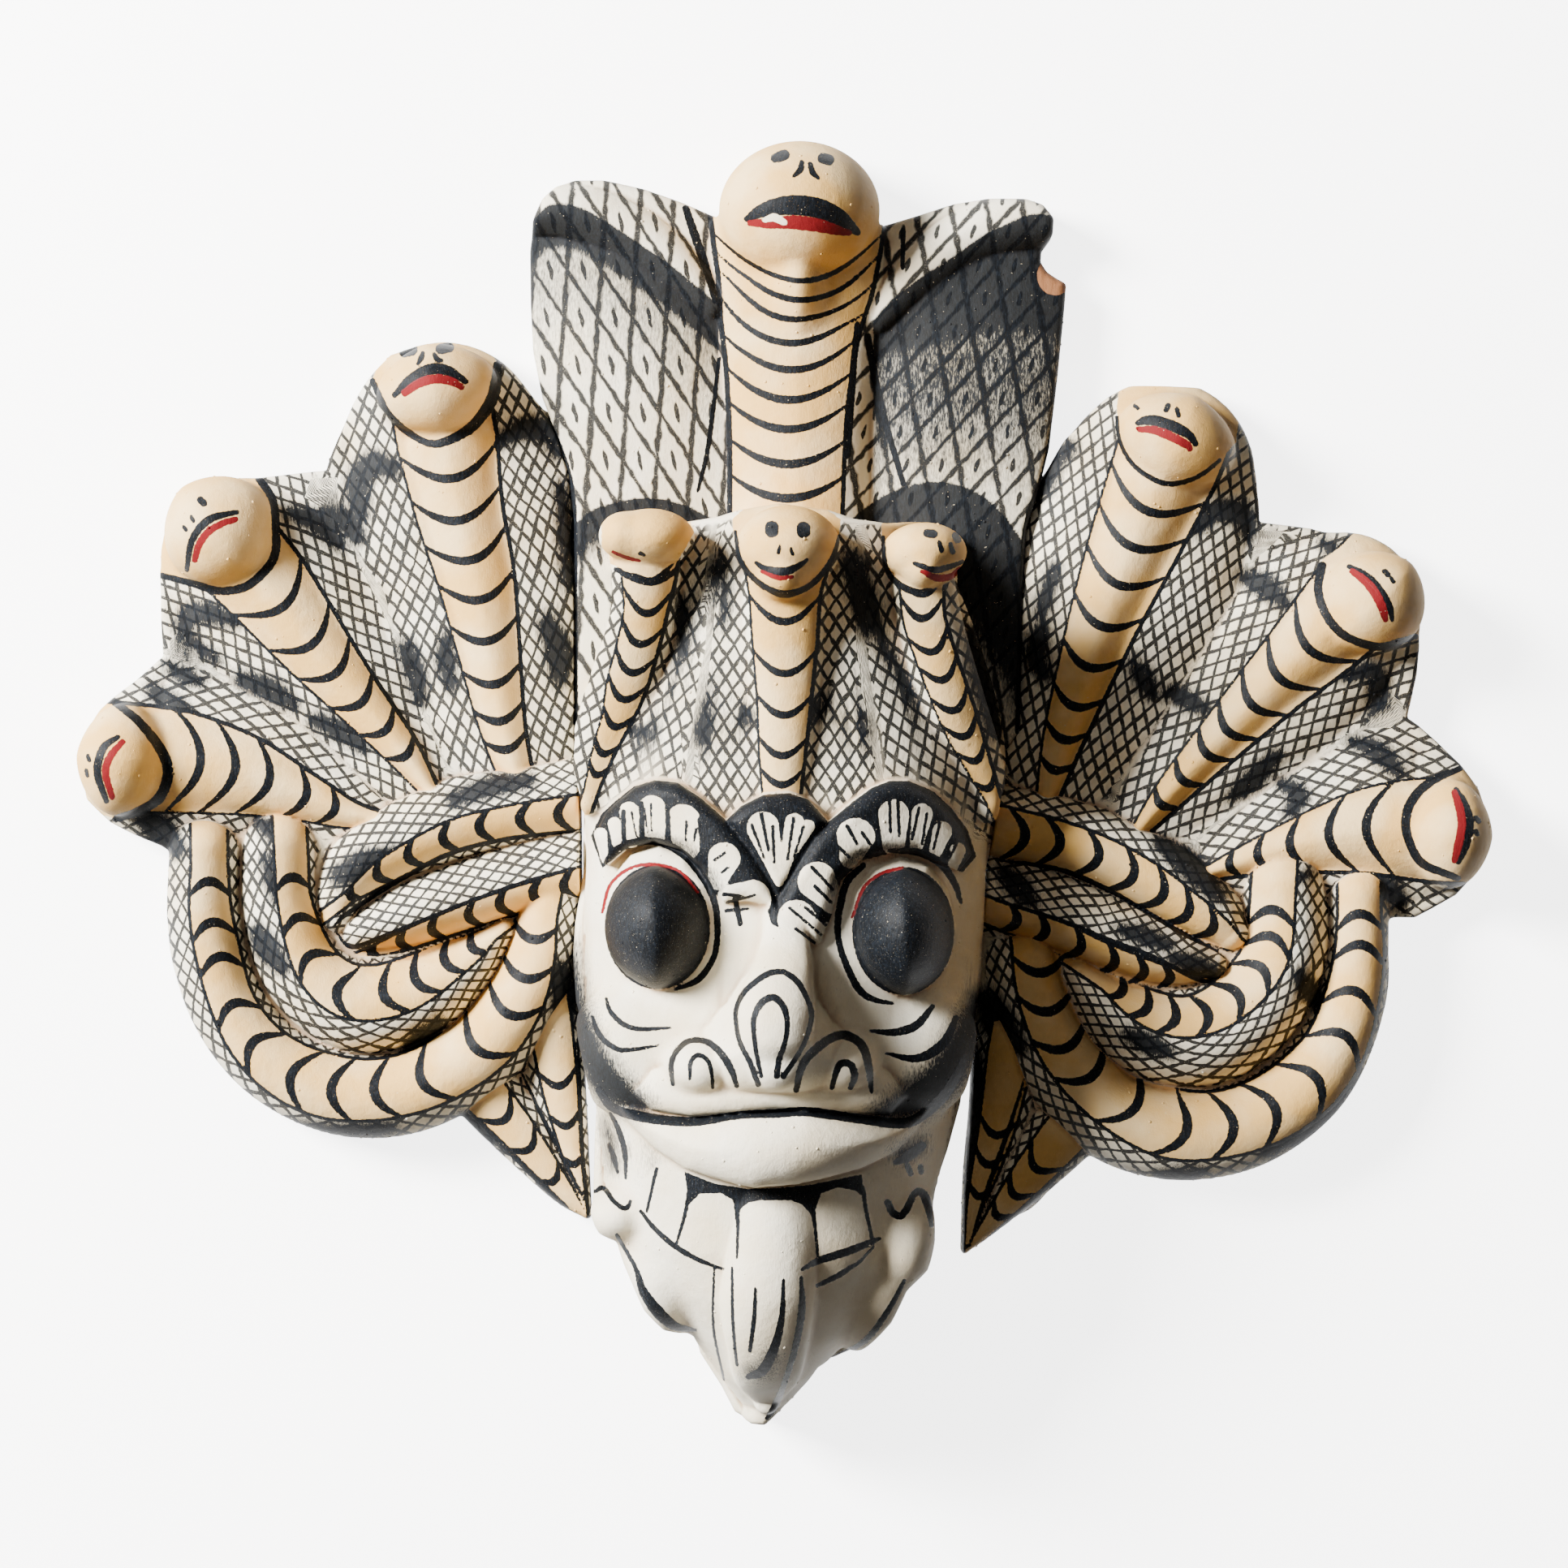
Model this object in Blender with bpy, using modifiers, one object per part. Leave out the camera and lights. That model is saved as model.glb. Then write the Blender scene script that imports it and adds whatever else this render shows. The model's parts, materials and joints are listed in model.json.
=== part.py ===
"""A naga mask of carved light wood: a demon face, a cobra crest and two wings of coiled snakes.

The mask lies on its flat back. +X is the viewer's right, +Y the crest and +Z the way the face looks.
Every piece is free carving, so its pose and proportions are shares of the piece's own size: a
place is written in percent of CREST_HEIGHT, FACE_HEIGHT or WING_REACH, and real depths are metres.
"""
import math

import bmesh
import bpy
from mathutils import Vector

# Driving dimensions, in metres
CREST_HEIGHT = 0.160     # from the eyes' height to the top of the big cobra's head
FACE_HEIGHT = 0.220      # from the small cobras' heads to the tip of the tongue
WING_REACH = 0.120       # from a wing's root to the outermost snake

CREST_RIM_RISE = 0.008   # thickness of the hooded board at its rim
CREST_RISE = 0.015       # its thickness in the middle
CREST_NECK_RISE = 0.020  # ridge of the big snake down the board
CREST_HEAD_RISE = 0.034  # peak of the big cobra's head above the back
CREST_HEAD_DEPTH = 0.040 # its head from front to back
HOOD_RISE = 0.015        # the small cobras' spread hoods
NECK_RISE = 0.019        # their necks, standing on the hoods
SNAKE_RISE = 0.020       # the looped bodies
HEAD_RISE = 0.029        # the wing cobras' heads
TAIL_RISE = 0.013
WEB_RISE = 0.009         # the wood left between the loops
FACE_DEPTH = 0.058       # the face's shell at its middle, without features
FACE_WALL = 0.009        # wood left behind that shell when it is hollowed
JOINT_GAP = 0.0003       # clearance where two pieces meet

WING_ROOT_X = 0.050      # a wing's root from the middle of the face, on either side
WING_ROOT_Y = -0.014     # and from the picture's middle
FACE_MIDDLE_Y = -0.036   # the eyes' height, from the picture's middle

VOXEL = {"crest": 0.0020, "face": 0.0018, "wing": 0.0018}
FACETS = {"crest": 1500, "face": 3300, "wing": 2000}

# The face's shell: its middle and its half width and half height, in percent of FACE_HEIGHT
SHELL_MIDDLE = (0, -3)
SHELL_REACH = (25.5, 54)

# Outlines, in percent of their own piece
CREST_OUTLINE = [
    (-32, 5), (-33, 42), (-37.5, 54), (-40, 64), (-41, 80.5), (-40, 87), (-37.5, 90), (-34, 91.5), (-30, 91.5),
    (-23.5, 90.5), (-17.5, 88.5), (-11.5, 86), (-10, 91), (-6, 95.5), (0.5, 97.5), (7, 95.5), (11, 91),
    (12.5, 85.5), (18.5, 87.5), (24, 89.5), (29, 90.5), (35, 90.5),
    (38, 89), (39, 86), (37, 81.5), (38, 79.5), (41.5, 78), (40.5, 63.5), (38.5, 47), (36.5, 36), (36.5, 5),
]
FACE_OUTLINE = [
    (-23, 21.5), (-21.5, 14), (-21.5, 9), (-22.5, 0.5), (-22, -8), (-19.5, -16.5), (-19.5, -26), (-18.5, -32.5),
    (-16.5, -33.5), (-14.5, -38), (-11, -43), (-8, -44), (-4.5, -50), (0.5, -54), (5, -49), (10.5, -45),
    (15.5, -38), (17.5, -35.5), (18, -28), (21, -18), (22.5, -8.5), (23, 7), (23.5, 15.5), (25, 19),
    (24, 24), (22, 29), (19.5, 37), (19.5, 41.5), (17, 45), (10.5, 45.5), (6, 47.5), (-6, 47.5),
    (-11, 45.5), (-17, 45.5), (-19.5, 42.5), (-19.5, 38.5), (-17.5, 36), (-19.5, 30.5), (-22.5, 25),
]

# Snakes: stations along the middle line, each (x, y, half width) in percent of the piece
LEFT_WING = {
    "hoods": [
        [(12, 15, 12), (21, 53.5, 19), (27.5, 74, 22.5), (29, 81, 18.5)],
        [(34, 10, 6), (54.5, 36, 15.5), (67, 52, 17.5), (71, 56, 15)],
        [(41.5, 2, 5), (62, 12, 13), (80, 13, 18), (86, 13, 14)],
    ],
    "necks": [
        [(14, 16, 5), (20.5, 50, 8), (27, 74, 11)],
        [(32, 12, 3.5), (51.5, 38, 7), (68.5, 55.5, 10)],
        [(42.5, 5, 3), (64.5, 12.5, 6.5), (85.5, 13.5, 10)],
    ],
    "heads": [(29.5, 89, 11), (74, 59.5, 11), (90.5, 13, 10)],
    "loops": [
        [(76, -6.5, 7), (75.5, -20.5, 7.5), (71, -36, 8), (61.5, -48, 8), (47, -54.5, 8.5), (32.5, -53.5, 8.5),
         (18.5, -46, 8), (10, -34, 7.5), (5.5, -22.5, 7), (5, -12, 6)],
        [(60.5, -4.5, 7.5), (60, -16.5, 7.5), (55, -29.5, 8.5), (43.5, -36.5, 9.5), (31.5, -34, 8),
         (21.5, -28, 6), (15, -20.5, 3)],
        [(-2, 8, 7.5), (12.5, 5.5, 8), (25.5, 2.5, 8), (35.5, -2, 7.5), (43.5, -7, 7), (47.5, -14, 5.5),
         (48, -19, 4)],
        [(-2.5, -6, 7), (10.5, -9.5, 7), (22, -13.5, 7), (33.5, -17, 6), (43, -21, 4)],
    ],
    "tails": [
        [(20, -50, 7), (11, -59, 6.5), (1, -69, 4), (-4, -75.5, 1.5)],
        [(2, -32, 5.5), (1, -50, 5.5), (-2, -64, 3.5), (-4, -75.5, 1.5)],
    ],
    "webs": [(36, -20, 36, 30), (32, 14, 26, 20), (58, -2, 22, 12), (4, -22, 12, 40), (5, -54, 10, 20)],
    "root": [(2.5, 75), (0, 16.5), (-3, -44.5), (-5.5, -77)],
}
RIGHT_WING = {
    "hoods": [
        [(16, 16, 9.5), (27, 47.5, 19.5), (32, 70, 21.5), (34, 77, 16.5)],
        [(31.5, 5, 6), (51, 27.5, 15), (68, 46.5, 18.5), (73, 50, 14.5)],
        [(44, -5.5, 4.5), (63.5, 3.5, 12.5), (82, 7, 18), (88, 6.5, 13)],
    ],
    "necks": [
        [(13.5, 14.5, 4.5), (23.5, 52, 8), (33.5, 77.5, 10.5)],
        [(32, 6.5, 3.5), (55, 32, 7), (73, 49.5, 10.5)],
        [(45.5, -3, 2.5), (66.5, 2, 6), (87, 6, 9.5)],
    ],
    "heads": [(36.5, 82.5, 11), (77, 51.5, 10.5), (93, 5, 9.5)],
    "loops": [
        [(77.5, -9.5, 6), (77.5, -21.5, 6.5), (75.5, -34, 7), (68.5, -46.5, 8), (56, -55.5, 8.5), (42.5, -58, 9),
         (29, -55, 9), (19, -46.5, 8.5), (12.5, -36, 7.5), (9.5, -24.5, 6.5)],
        [(62, -7.5, 8.5), (62.5, -18, 9), (58, -29, 9.5), (49, -36.5, 10), (38.5, -37.5, 9.5), (28.5, -34, 7),
         (21, -26, 3.5)],
        [(2, 5.5, 7.5), (15, 3.5, 7.5), (26, 0, 7.5), (37.5, -5.5, 7.5), (47.5, -12, 6.5), (51, -16, 4)],
        [(1.5, -8.5, 7), (14.5, -12.5, 7.5), (26.5, -16.5, 7), (38, -21, 6), (47, -22, 3)],
    ],
    "tails": [
        [(21, -57, 7), (12, -66, 6.5), (4, -76, 3.5), (-1, -81.5, 1.5)],
        [(6.5, -38, 6), (4.5, -56, 5.5), (1, -70, 4), (-1, -80.5, 1.5)],
    ],
    "webs": [(40, -24, 36, 30), (32, 10, 26, 20), (58, -2, 24, 22), (7, -26, 12, 40), (7, -60, 10, 20)],
    "root": [(8, 75), (6, 19), (3.5, 7.5), (-1.5, -43.5), (-2, -82.5)],
}

# Eggs on the face: (x, y, z, half width, half height, half depth) in percent of FACE_HEIGHT
FACE_EGGS = {
    "cheeks": [(-13, -9, 10, 9, 12, 13), (13.5, -8, 10, 9, 12, 13)],
    "forehead": [(0, 20, 8, 24, 27, 18), (0, 37, 12, 18, 10, 14), (-13, 38, 5, 8.5, 8.5, 21),
                 (13, 38, 5, 8.5, 8.5, 21), (0, 39, 5, 12, 9.5, 22)],
    "eyes": [(-12.5, 1, 23.5, 7, 8, 7.5), (13, 1.5, 23.5, 7, 8, 7.5)],
    "nose": [(1, 0, 24, 3, 7, 5), (0, -7, 27, 3.5, 6, 7), (-0.5, -11.5, 30, 4.8, 5, 7)],
    "nostrils": [(-6.8, -13, 26.5, 3.8, 3.8, 6), (6, -12.5, 26.5, 4.2, 3.8, 6)],
    "muzzle": [(0, -18, 20, 13, 6, 9)],
    "jaw": [(0, -34, 12, 15, 11, 12)],
    "fangs": [(-16, -30, 14, 3, 3, 5), (15.5, -29, 14, 3, 3, 5)],
    "small heads": [(-15, 41, 25, 5.2, 4.4, 6), (0, 40.5, 27, 6.2, 6, 7), (14.5, 40, 25, 5.2, 4.6, 6)],
}
# Bands on the face: stations (x, y, z, half width) in percent of FACE_HEIGHT
FACE_BANDS = [
    [(-19, -17, 15, 3), (-13.5, -21, 21, 4), (-8.5, -23, 26, 4.2), (0, -23.5, 28, 4.5), (9.5, -22.5, 26, 4.2),
     (15, -19.5, 21, 4), (19, -15, 15, 3)],
    [(-18.5, 9.5, 18, 2.8), (-13.5, 14.5, 23, 3), (-7.5, 12.5, 26, 3), (-2, 6, 26, 2.4)],
    [(2.5, 6.5, 26, 2.8), (6.5, 13.5, 26, 3), (12.5, 15, 23, 3), (19, 10.5, 18, 2.8)],
    [(-14.5, 38, 23, 4.2), (-17, 26, 17, 4), (-19.5, 15.5, 13, 3.5)],
    [(0, 36, 25, 4.6), (0, 26, 24, 3.8), (0, 15.5, 24, 3)],
    [(14.5, 37, 22, 4), (17.5, 26, 17, 4), (21, 16, 13, 3.5)],
    [(-12.5, -30, 18, 2.4), (-8, -34.5, 21, 2.8), (-0.5, -36, 23, 3), (8, -34.5, 21, 2.8), (12.5, -29.5, 18, 2.4)],
    [(-0.5, -35, 20, 6), (-0.5, -41.5, 18, 5.5), (0.5, -48.5, 12, 4), (0.5, -52, 8, 2)],
]


def clear_scene():
    """Remove whatever the start-up file holds."""
    for thing in list(bpy.data.objects):
        bpy.data.objects.remove(thing, do_unlink=True)


def make_collection(name):
    """Make a collection in the scene."""
    collection = bpy.data.collections.new(name)
    bpy.context.scene.collection.children.link(collection)
    return collection


def painted_wood(name, colour):
    """Matt paint on carved wood: a plain Principled BSDF in one colour."""
    material = bpy.data.materials.new(name)
    material.use_nodes = True
    shader = material.node_tree.nodes["Principled BSDF"]
    shader.inputs["Base Color"].default_value = (*colour, 1.0)
    shader.inputs["Roughness"].default_value = 0.75
    shader.inputs["Metallic"].default_value = 0.0
    return material


def as_mesh(thing):
    """Turn an object made by a primitive, or a curve, into a welded mesh with its place in the mesh."""
    evaluated = thing.evaluated_get(bpy.context.evaluated_depsgraph_get())
    mesh = bpy.data.meshes.new_from_object(evaluated)
    mesh.transform(thing.matrix_world)
    bpy.data.objects.remove(thing, do_unlink=True)
    shape = bmesh.new()
    shape.from_mesh(mesh)
    bmesh.ops.remove_doubles(shape, verts=shape.verts, dist=0.00001)
    bmesh.ops.recalc_face_normals(shape, faces=shape.faces)
    shape.to_mesh(mesh)
    shape.free()
    return mesh


def joined(name, meshes, collection):
    """Make one object of several meshes, which stay separate bodies in it."""
    shape = bmesh.new()
    for mesh in meshes:
        shape.from_mesh(mesh)
        bpy.data.meshes.remove(mesh)
    mesh = bpy.data.meshes.new(name)
    shape.to_mesh(mesh)
    shape.free()
    thing = bpy.data.objects.new(name, mesh)
    collection.objects.link(thing)
    return thing


def egg(centre, radii):
    """An ellipsoid as a mesh."""
    bpy.ops.mesh.primitive_uv_sphere_add(segments=24, ring_count=14, radius=1.0, location=centre, scale=radii)
    bpy.context.view_layer.update()
    return as_mesh(bpy.context.object)


def snake(stations, rise=None):
    """A round body along stations (x, y, z, radius), flattened to stand rise above z = 0 where it is given."""
    curve = bpy.data.curves.new("snake", "CURVE")
    curve.dimensions = "3D"
    curve.resolution_u = 6
    curve.bevel_depth = 1.0
    curve.bevel_resolution = 4
    curve.use_fill_caps = True
    spline = curve.splines.new("NURBS")
    spline.points.add(len(stations) - 1)
    for point, (x, y, z, radius) in zip(spline.points, stations):
        point.co = (x, y, z, 1.0)
        point.radius = radius
    spline.order_u = 3
    spline.use_endpoint_u = True
    thing = bpy.data.objects.new("snake", curve)
    bpy.context.scene.collection.objects.link(thing)
    if rise is not None:
        thing.scale.z = rise / max(station[3] for station in stations)
    bpy.context.view_layer.update()
    return as_mesh(thing)


def grown(outline, gap):
    """Move an outline's points outwards by a gap."""
    area = 0.0
    for here, after in zip(outline, outline[1:] + outline[:1]):
        area += here.cross(after)
    turn = math.copysign(1.0, area)
    points = []
    for before, here, after in zip(outline[-1:] + outline[:-1], outline, outline[1:] + outline[:1]):
        into = (here - before).normalized()
        onward = (after - here).normalized()
        outwards = (Vector((into.y, -into.x)) + Vector((onward.y, -onward.x))).normalized()
        points.append(here + turn * gap * outwards)
    return points


def board(outline, low, high):
    """A flat board with a given outline between two heights."""
    curve = bpy.data.curves.new("board", "CURVE")
    curve.dimensions = "2D"
    curve.fill_mode = "BOTH"
    curve.extrude = (high - low) / 2
    spline = curve.splines.new("POLY")
    spline.points.add(len(outline) - 1)
    for point, (x, y) in zip(spline.points, outline):
        point.co = (x, y, 0.0, 1.0)
    spline.use_cyclic_u = True
    thing = bpy.data.objects.new("board", curve)
    thing.location.z = (low + high) / 2
    bpy.context.scene.collection.objects.link(thing)
    bpy.context.view_layer.update()
    return as_mesh(thing)


def cutter(name, meshes, collection):
    """A shape that is only cut away from others."""
    thing = joined(name, meshes, collection)
    thing.hide_render = True
    thing.display_type = "WIRE"
    return thing


def add_boolean(piece, operation, other):
    """Cut or keep a piece by another shape."""
    modifier = piece.modifiers.new(operation.title(), "BOOLEAN")
    modifier.operation = operation
    modifier.object = other
    modifier.solver = "EXACT"


def carve(name, meshes, collection, voxel, facets, material):
    """Fuse overlapping forms into one carved body of about the given number of facets."""
    piece = joined(name, meshes, collection)
    fuse = piece.modifiers.new("Fuse", "REMESH")
    fuse.mode = "VOXEL"
    fuse.voxel_size = voxel
    evaluated = piece.evaluated_get(bpy.context.evaluated_depsgraph_get())
    fused = bpy.data.meshes.new_from_object(evaluated)
    count = sum(len(polygon.vertices) - 2 for polygon in fused.polygons)
    bpy.data.meshes.remove(fused)
    simplify = piece.modifiers.new("Facets", "DECIMATE")
    simplify.ratio = min(1.0, facets / count)
    piece.data.materials.append(material)
    return piece


def crest_point(x, y):
    """A point in percent of the crest's height, measured from the picture's middle."""
    return Vector((x, y)) * CREST_HEIGHT / 100


def face_point(x, y):
    """A point in percent of the face's height, measured from the eyes' height."""
    return Vector((0.0, FACE_MIDDLE_Y)) + Vector((x, y)) * FACE_HEIGHT / 100


def wing_point(side, x, y):
    """A point in percent of the wing's reach, measured from its root, on side -1 or +1."""
    point = Vector((WING_ROOT_X, WING_ROOT_Y)) + Vector((x, y)) * WING_REACH / 100
    return Vector((side * point.x, point.y))


def crest_forms():
    """The hooded board, the ridge of the snake's neck down its middle, and its domed head."""
    unit = CREST_HEIGHT / 100
    outline = [crest_point(x, y) for x, y in CREST_OUTLINE]
    hood_top = crest_point(0, 60)
    neck = [(0, 30, 9), (0, 45, 9), (0, 62, 11), (0, 80, 13)]
    head_middle = CREST_HEAD_RISE - CREST_HEAD_DEPTH / 2
    return [
        board(outline, -CREST_RIM_RISE, CREST_RIM_RISE),
        egg((*hood_top, 0.0), (42 * unit, 40 * unit, CREST_RISE)),
        snake([(*crest_point(x, y), 0.0, width * unit) for x, y, width in neck], CREST_NECK_RISE),
        egg((*crest_point(0.5, 86), head_middle), (12 * unit, 11.5 * unit, CREST_HEAD_DEPTH / 2)),
    ]


def wing_forms(side, plan):
    """Hoods, necks, heads, looped bodies and tails of one wing, with the wood left between them."""
    unit = WING_REACH / 100
    rises = {"hoods": HOOD_RISE, "necks": NECK_RISE, "loops": SNAKE_RISE, "tails": TAIL_RISE}
    forms = []
    for group, rise in rises.items():
        for stations in plan[group]:
            line = [(*wing_point(side, x, y), 0.0, width * unit) for x, y, width in stations]
            forms.append(snake(line, rise))
            x, y, z, radius = line[-1]
            forms.append(egg((x, y, z), (radius, radius, rise * radius / max(station[3] for station in line))))
    for x, y, width in plan["heads"]:
        depth = HEAD_RISE / 2
        forms.append(egg((*wing_point(side, x, y), depth), (width * unit, 0.9 * width * unit, depth)))
    for x, y, width, height in plan["webs"]:
        forms.append(egg((*wing_point(side, x, y), 0.0), (width * unit, height * unit, WEB_RISE)))
    return forms


def face_forms():
    """The face's shell, and the eyes, brows, nose, lips, jaw, tongue and small cobras that stand on it."""
    unit = FACE_HEIGHT / 100
    forms = [egg((*face_point(*SHELL_MIDDLE), 0.0), (SHELL_REACH[0] * unit, SHELL_REACH[1] * unit, FACE_DEPTH))]
    for eggs in FACE_EGGS.values():
        for x, y, z, width, height, depth in eggs:
            forms.append(egg((*face_point(x, y), z * unit), (width * unit, height * unit, depth * unit)))
    for stations in FACE_BANDS:
        forms.append(snake([(*face_point(x, y), z * unit, radius * unit) for x, y, z, radius in stations]))
    return forms


def centre_on_ground(pieces):
    """Move all pieces so that the middle of their common box stands at the origin."""
    bpy.context.view_layer.update()
    depsgraph = bpy.context.evaluated_depsgraph_get()
    corners = []
    for piece in pieces:
        evaluated = piece.evaluated_get(depsgraph)
        corners += [evaluated.matrix_world @ Vector(corner) for corner in evaluated.bound_box]
    low = Vector([min(corner[axis] for corner in corners) for axis in range(3)])
    high = Vector([max(corner[axis] for corner in corners) for axis in range(3)])
    return Vector((-(low.x + high.x) / 2, -(low.y + high.y) / 2, 0.0))


def main():
    clear_scene()
    mask = make_collection("naga_mask")
    cutters = make_collection("cutters")
    ground = 0.0
    tall = FACE_HEIGHT / 2
    face_outline = [face_point(x, y) for x, y in FACE_OUTLINE]
    crest_outline = [crest_point(x, y) for x, y in CREST_OUTLINE]
    span = 4 * FACE_HEIGHT
    wide = [Vector((-span, -span)), Vector((span, -span)), Vector((span, span)), Vector((-span, span))]

    below = cutter("below_back", [board(wide, -tall, ground)], cutters)
    in_face = cutter("inside_face_outline", [board(face_outline, -tall, tall)], cutters)
    face_room = cutter("room_for_face", [board(grown(face_outline, JOINT_GAP), -tall, tall)], cutters)
    crest_room = cutter("room_for_crest", [board(grown(crest_outline, JOINT_GAP), -tall, tall)], cutters)
    in_crest = cutter("inside_crest_outline", [board(crest_outline, -tall, tall)], cutters)
    unit = FACE_HEIGHT / 100
    hollow_size = (SHELL_REACH[0] * unit - 2 * FACE_WALL, SHELL_REACH[1] * unit - 3 * FACE_WALL,
                   FACE_DEPTH - FACE_WALL)
    hollow = cutter("hollow", [egg((*face_point(*SHELL_MIDDLE), 0.0), hollow_size)], cutters)

    face = carve("face", face_forms(), mask, VOXEL["face"], FACETS["face"],
                 painted_wood("face_paint", (0.80, 0.76, 0.68)))
    add_boolean(face, "INTERSECT", in_face)
    add_boolean(face, "DIFFERENCE", hollow)
    crest = carve("crest", crest_forms(), mask, VOXEL["crest"], FACETS["crest"],
                  painted_wood("crest_paint", (0.78, 0.72, 0.62)))
    add_boolean(crest, "INTERSECT", in_crest)
    add_boolean(crest, "DIFFERENCE", face_room)
    wings = []
    for name, side, plan in (("wing_left", -1, LEFT_WING), ("wing_right", 1, RIGHT_WING)):
        wing = carve(name, wing_forms(side, plan), mask, VOXEL["wing"], FACETS["wing"],
                     painted_wood(name + "_paint", (0.79, 0.74, 0.65)))
        root = [wing_point(side, x, y) for x, y in plan["root"]]
        inner = [Vector((-side * FACE_HEIGHT, root[-1].y)), Vector((-side * FACE_HEIGHT, root[0].y))]
        beyond = cutter(name + "_root_side", [board(root + inner, -tall, tall)], cutters)
        add_boolean(wing, "DIFFERENCE", beyond)
        add_boolean(wing, "DIFFERENCE", face_room)
        add_boolean(wing, "DIFFERENCE", crest_room)
        wings.append(wing)
    pieces = [face, crest, *wings]
    for piece in pieces:
        add_boolean(piece, "DIFFERENCE", below)
    shift = centre_on_ground(pieces)
    for thing in [*pieces, *cutters.objects]:
        thing.location = shift


main()
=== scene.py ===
"""A naga mask of carved and painted light wood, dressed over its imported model.

Places on the mask are read from its front view, a square of 1932 pixels: x to the right, y down.
At the mask's flat back one of those pixels is PIXEL millimetres. Depths and finishes are in
millimetres too, and the meshes are turned to metres when they are made.
"""
import functools
import json
import math

import bmesh
import bpy
import numpy as np
import openvdb
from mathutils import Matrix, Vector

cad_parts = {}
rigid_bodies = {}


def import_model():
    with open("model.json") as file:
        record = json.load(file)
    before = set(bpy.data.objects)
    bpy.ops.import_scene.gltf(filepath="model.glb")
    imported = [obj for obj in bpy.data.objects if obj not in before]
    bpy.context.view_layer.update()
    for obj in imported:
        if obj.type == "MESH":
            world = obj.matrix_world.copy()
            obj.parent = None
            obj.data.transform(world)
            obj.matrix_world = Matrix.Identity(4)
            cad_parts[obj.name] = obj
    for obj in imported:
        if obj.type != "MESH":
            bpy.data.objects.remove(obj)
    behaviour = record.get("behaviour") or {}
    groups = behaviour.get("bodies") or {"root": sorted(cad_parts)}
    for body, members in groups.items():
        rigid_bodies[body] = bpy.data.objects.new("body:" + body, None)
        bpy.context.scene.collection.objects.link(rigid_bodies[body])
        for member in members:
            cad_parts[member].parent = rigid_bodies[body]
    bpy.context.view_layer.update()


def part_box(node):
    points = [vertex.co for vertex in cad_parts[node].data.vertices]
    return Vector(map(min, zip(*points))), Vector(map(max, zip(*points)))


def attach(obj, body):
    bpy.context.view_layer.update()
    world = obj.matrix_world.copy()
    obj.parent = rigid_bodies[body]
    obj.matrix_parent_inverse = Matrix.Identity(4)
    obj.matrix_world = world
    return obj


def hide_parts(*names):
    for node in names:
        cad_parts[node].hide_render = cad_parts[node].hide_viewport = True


bl_info = {
    "name": "Naga mask",
    "version": (1, 0, 0),
    "blender": (4, 5, 0),
    "location": "View3D > Sidebar > Naga mask",
    "description": "Carved and painted naga mask: face, cobra crest and two wings of snakes",
    "category": "Add Mesh",
}

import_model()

# The front view
VIEW_MIDDLE = 966.0
PIXEL = 0.2
CAMERA_HEIGHT = 1000.0
ROLL = math.radians(1.7)
VIEW_FOOT = (-0.344, -0.6)      # the point of the back plane under the camera, in millimetres


def to_mm(px, py, z=0.0):
    """Where a pixel of the front view meets the height z, in millimetres."""
    right = (np.asarray(px, float) - VIEW_MIDDLE) * PIXEL
    up = -(np.asarray(py, float) - VIEW_MIDDLE) * PIXEL
    near = (CAMERA_HEIGHT - z) / CAMERA_HEIGHT
    x = (right * math.cos(ROLL) - up * math.sin(ROLL)) * near + VIEW_FOOT[0]
    y = (right * math.sin(ROLL) + up * math.cos(ROLL)) * near + VIEW_FOOT[1]
    return x, y


def to_view(x, y, z):
    """The pixel of the front view in which a point in millimetres shows."""
    near = (CAMERA_HEIGHT - z) / CAMERA_HEIGHT
    across = (x - VIEW_FOOT[0]) / near
    along = (y - VIEW_FOOT[1]) / near
    right = across * math.cos(ROLL) + along * math.sin(ROLL)
    up = -across * math.sin(ROLL) + along * math.cos(ROLL)
    return VIEW_MIDDLE + right / PIXEL, VIEW_MIDDLE - up / PIXEL


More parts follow.
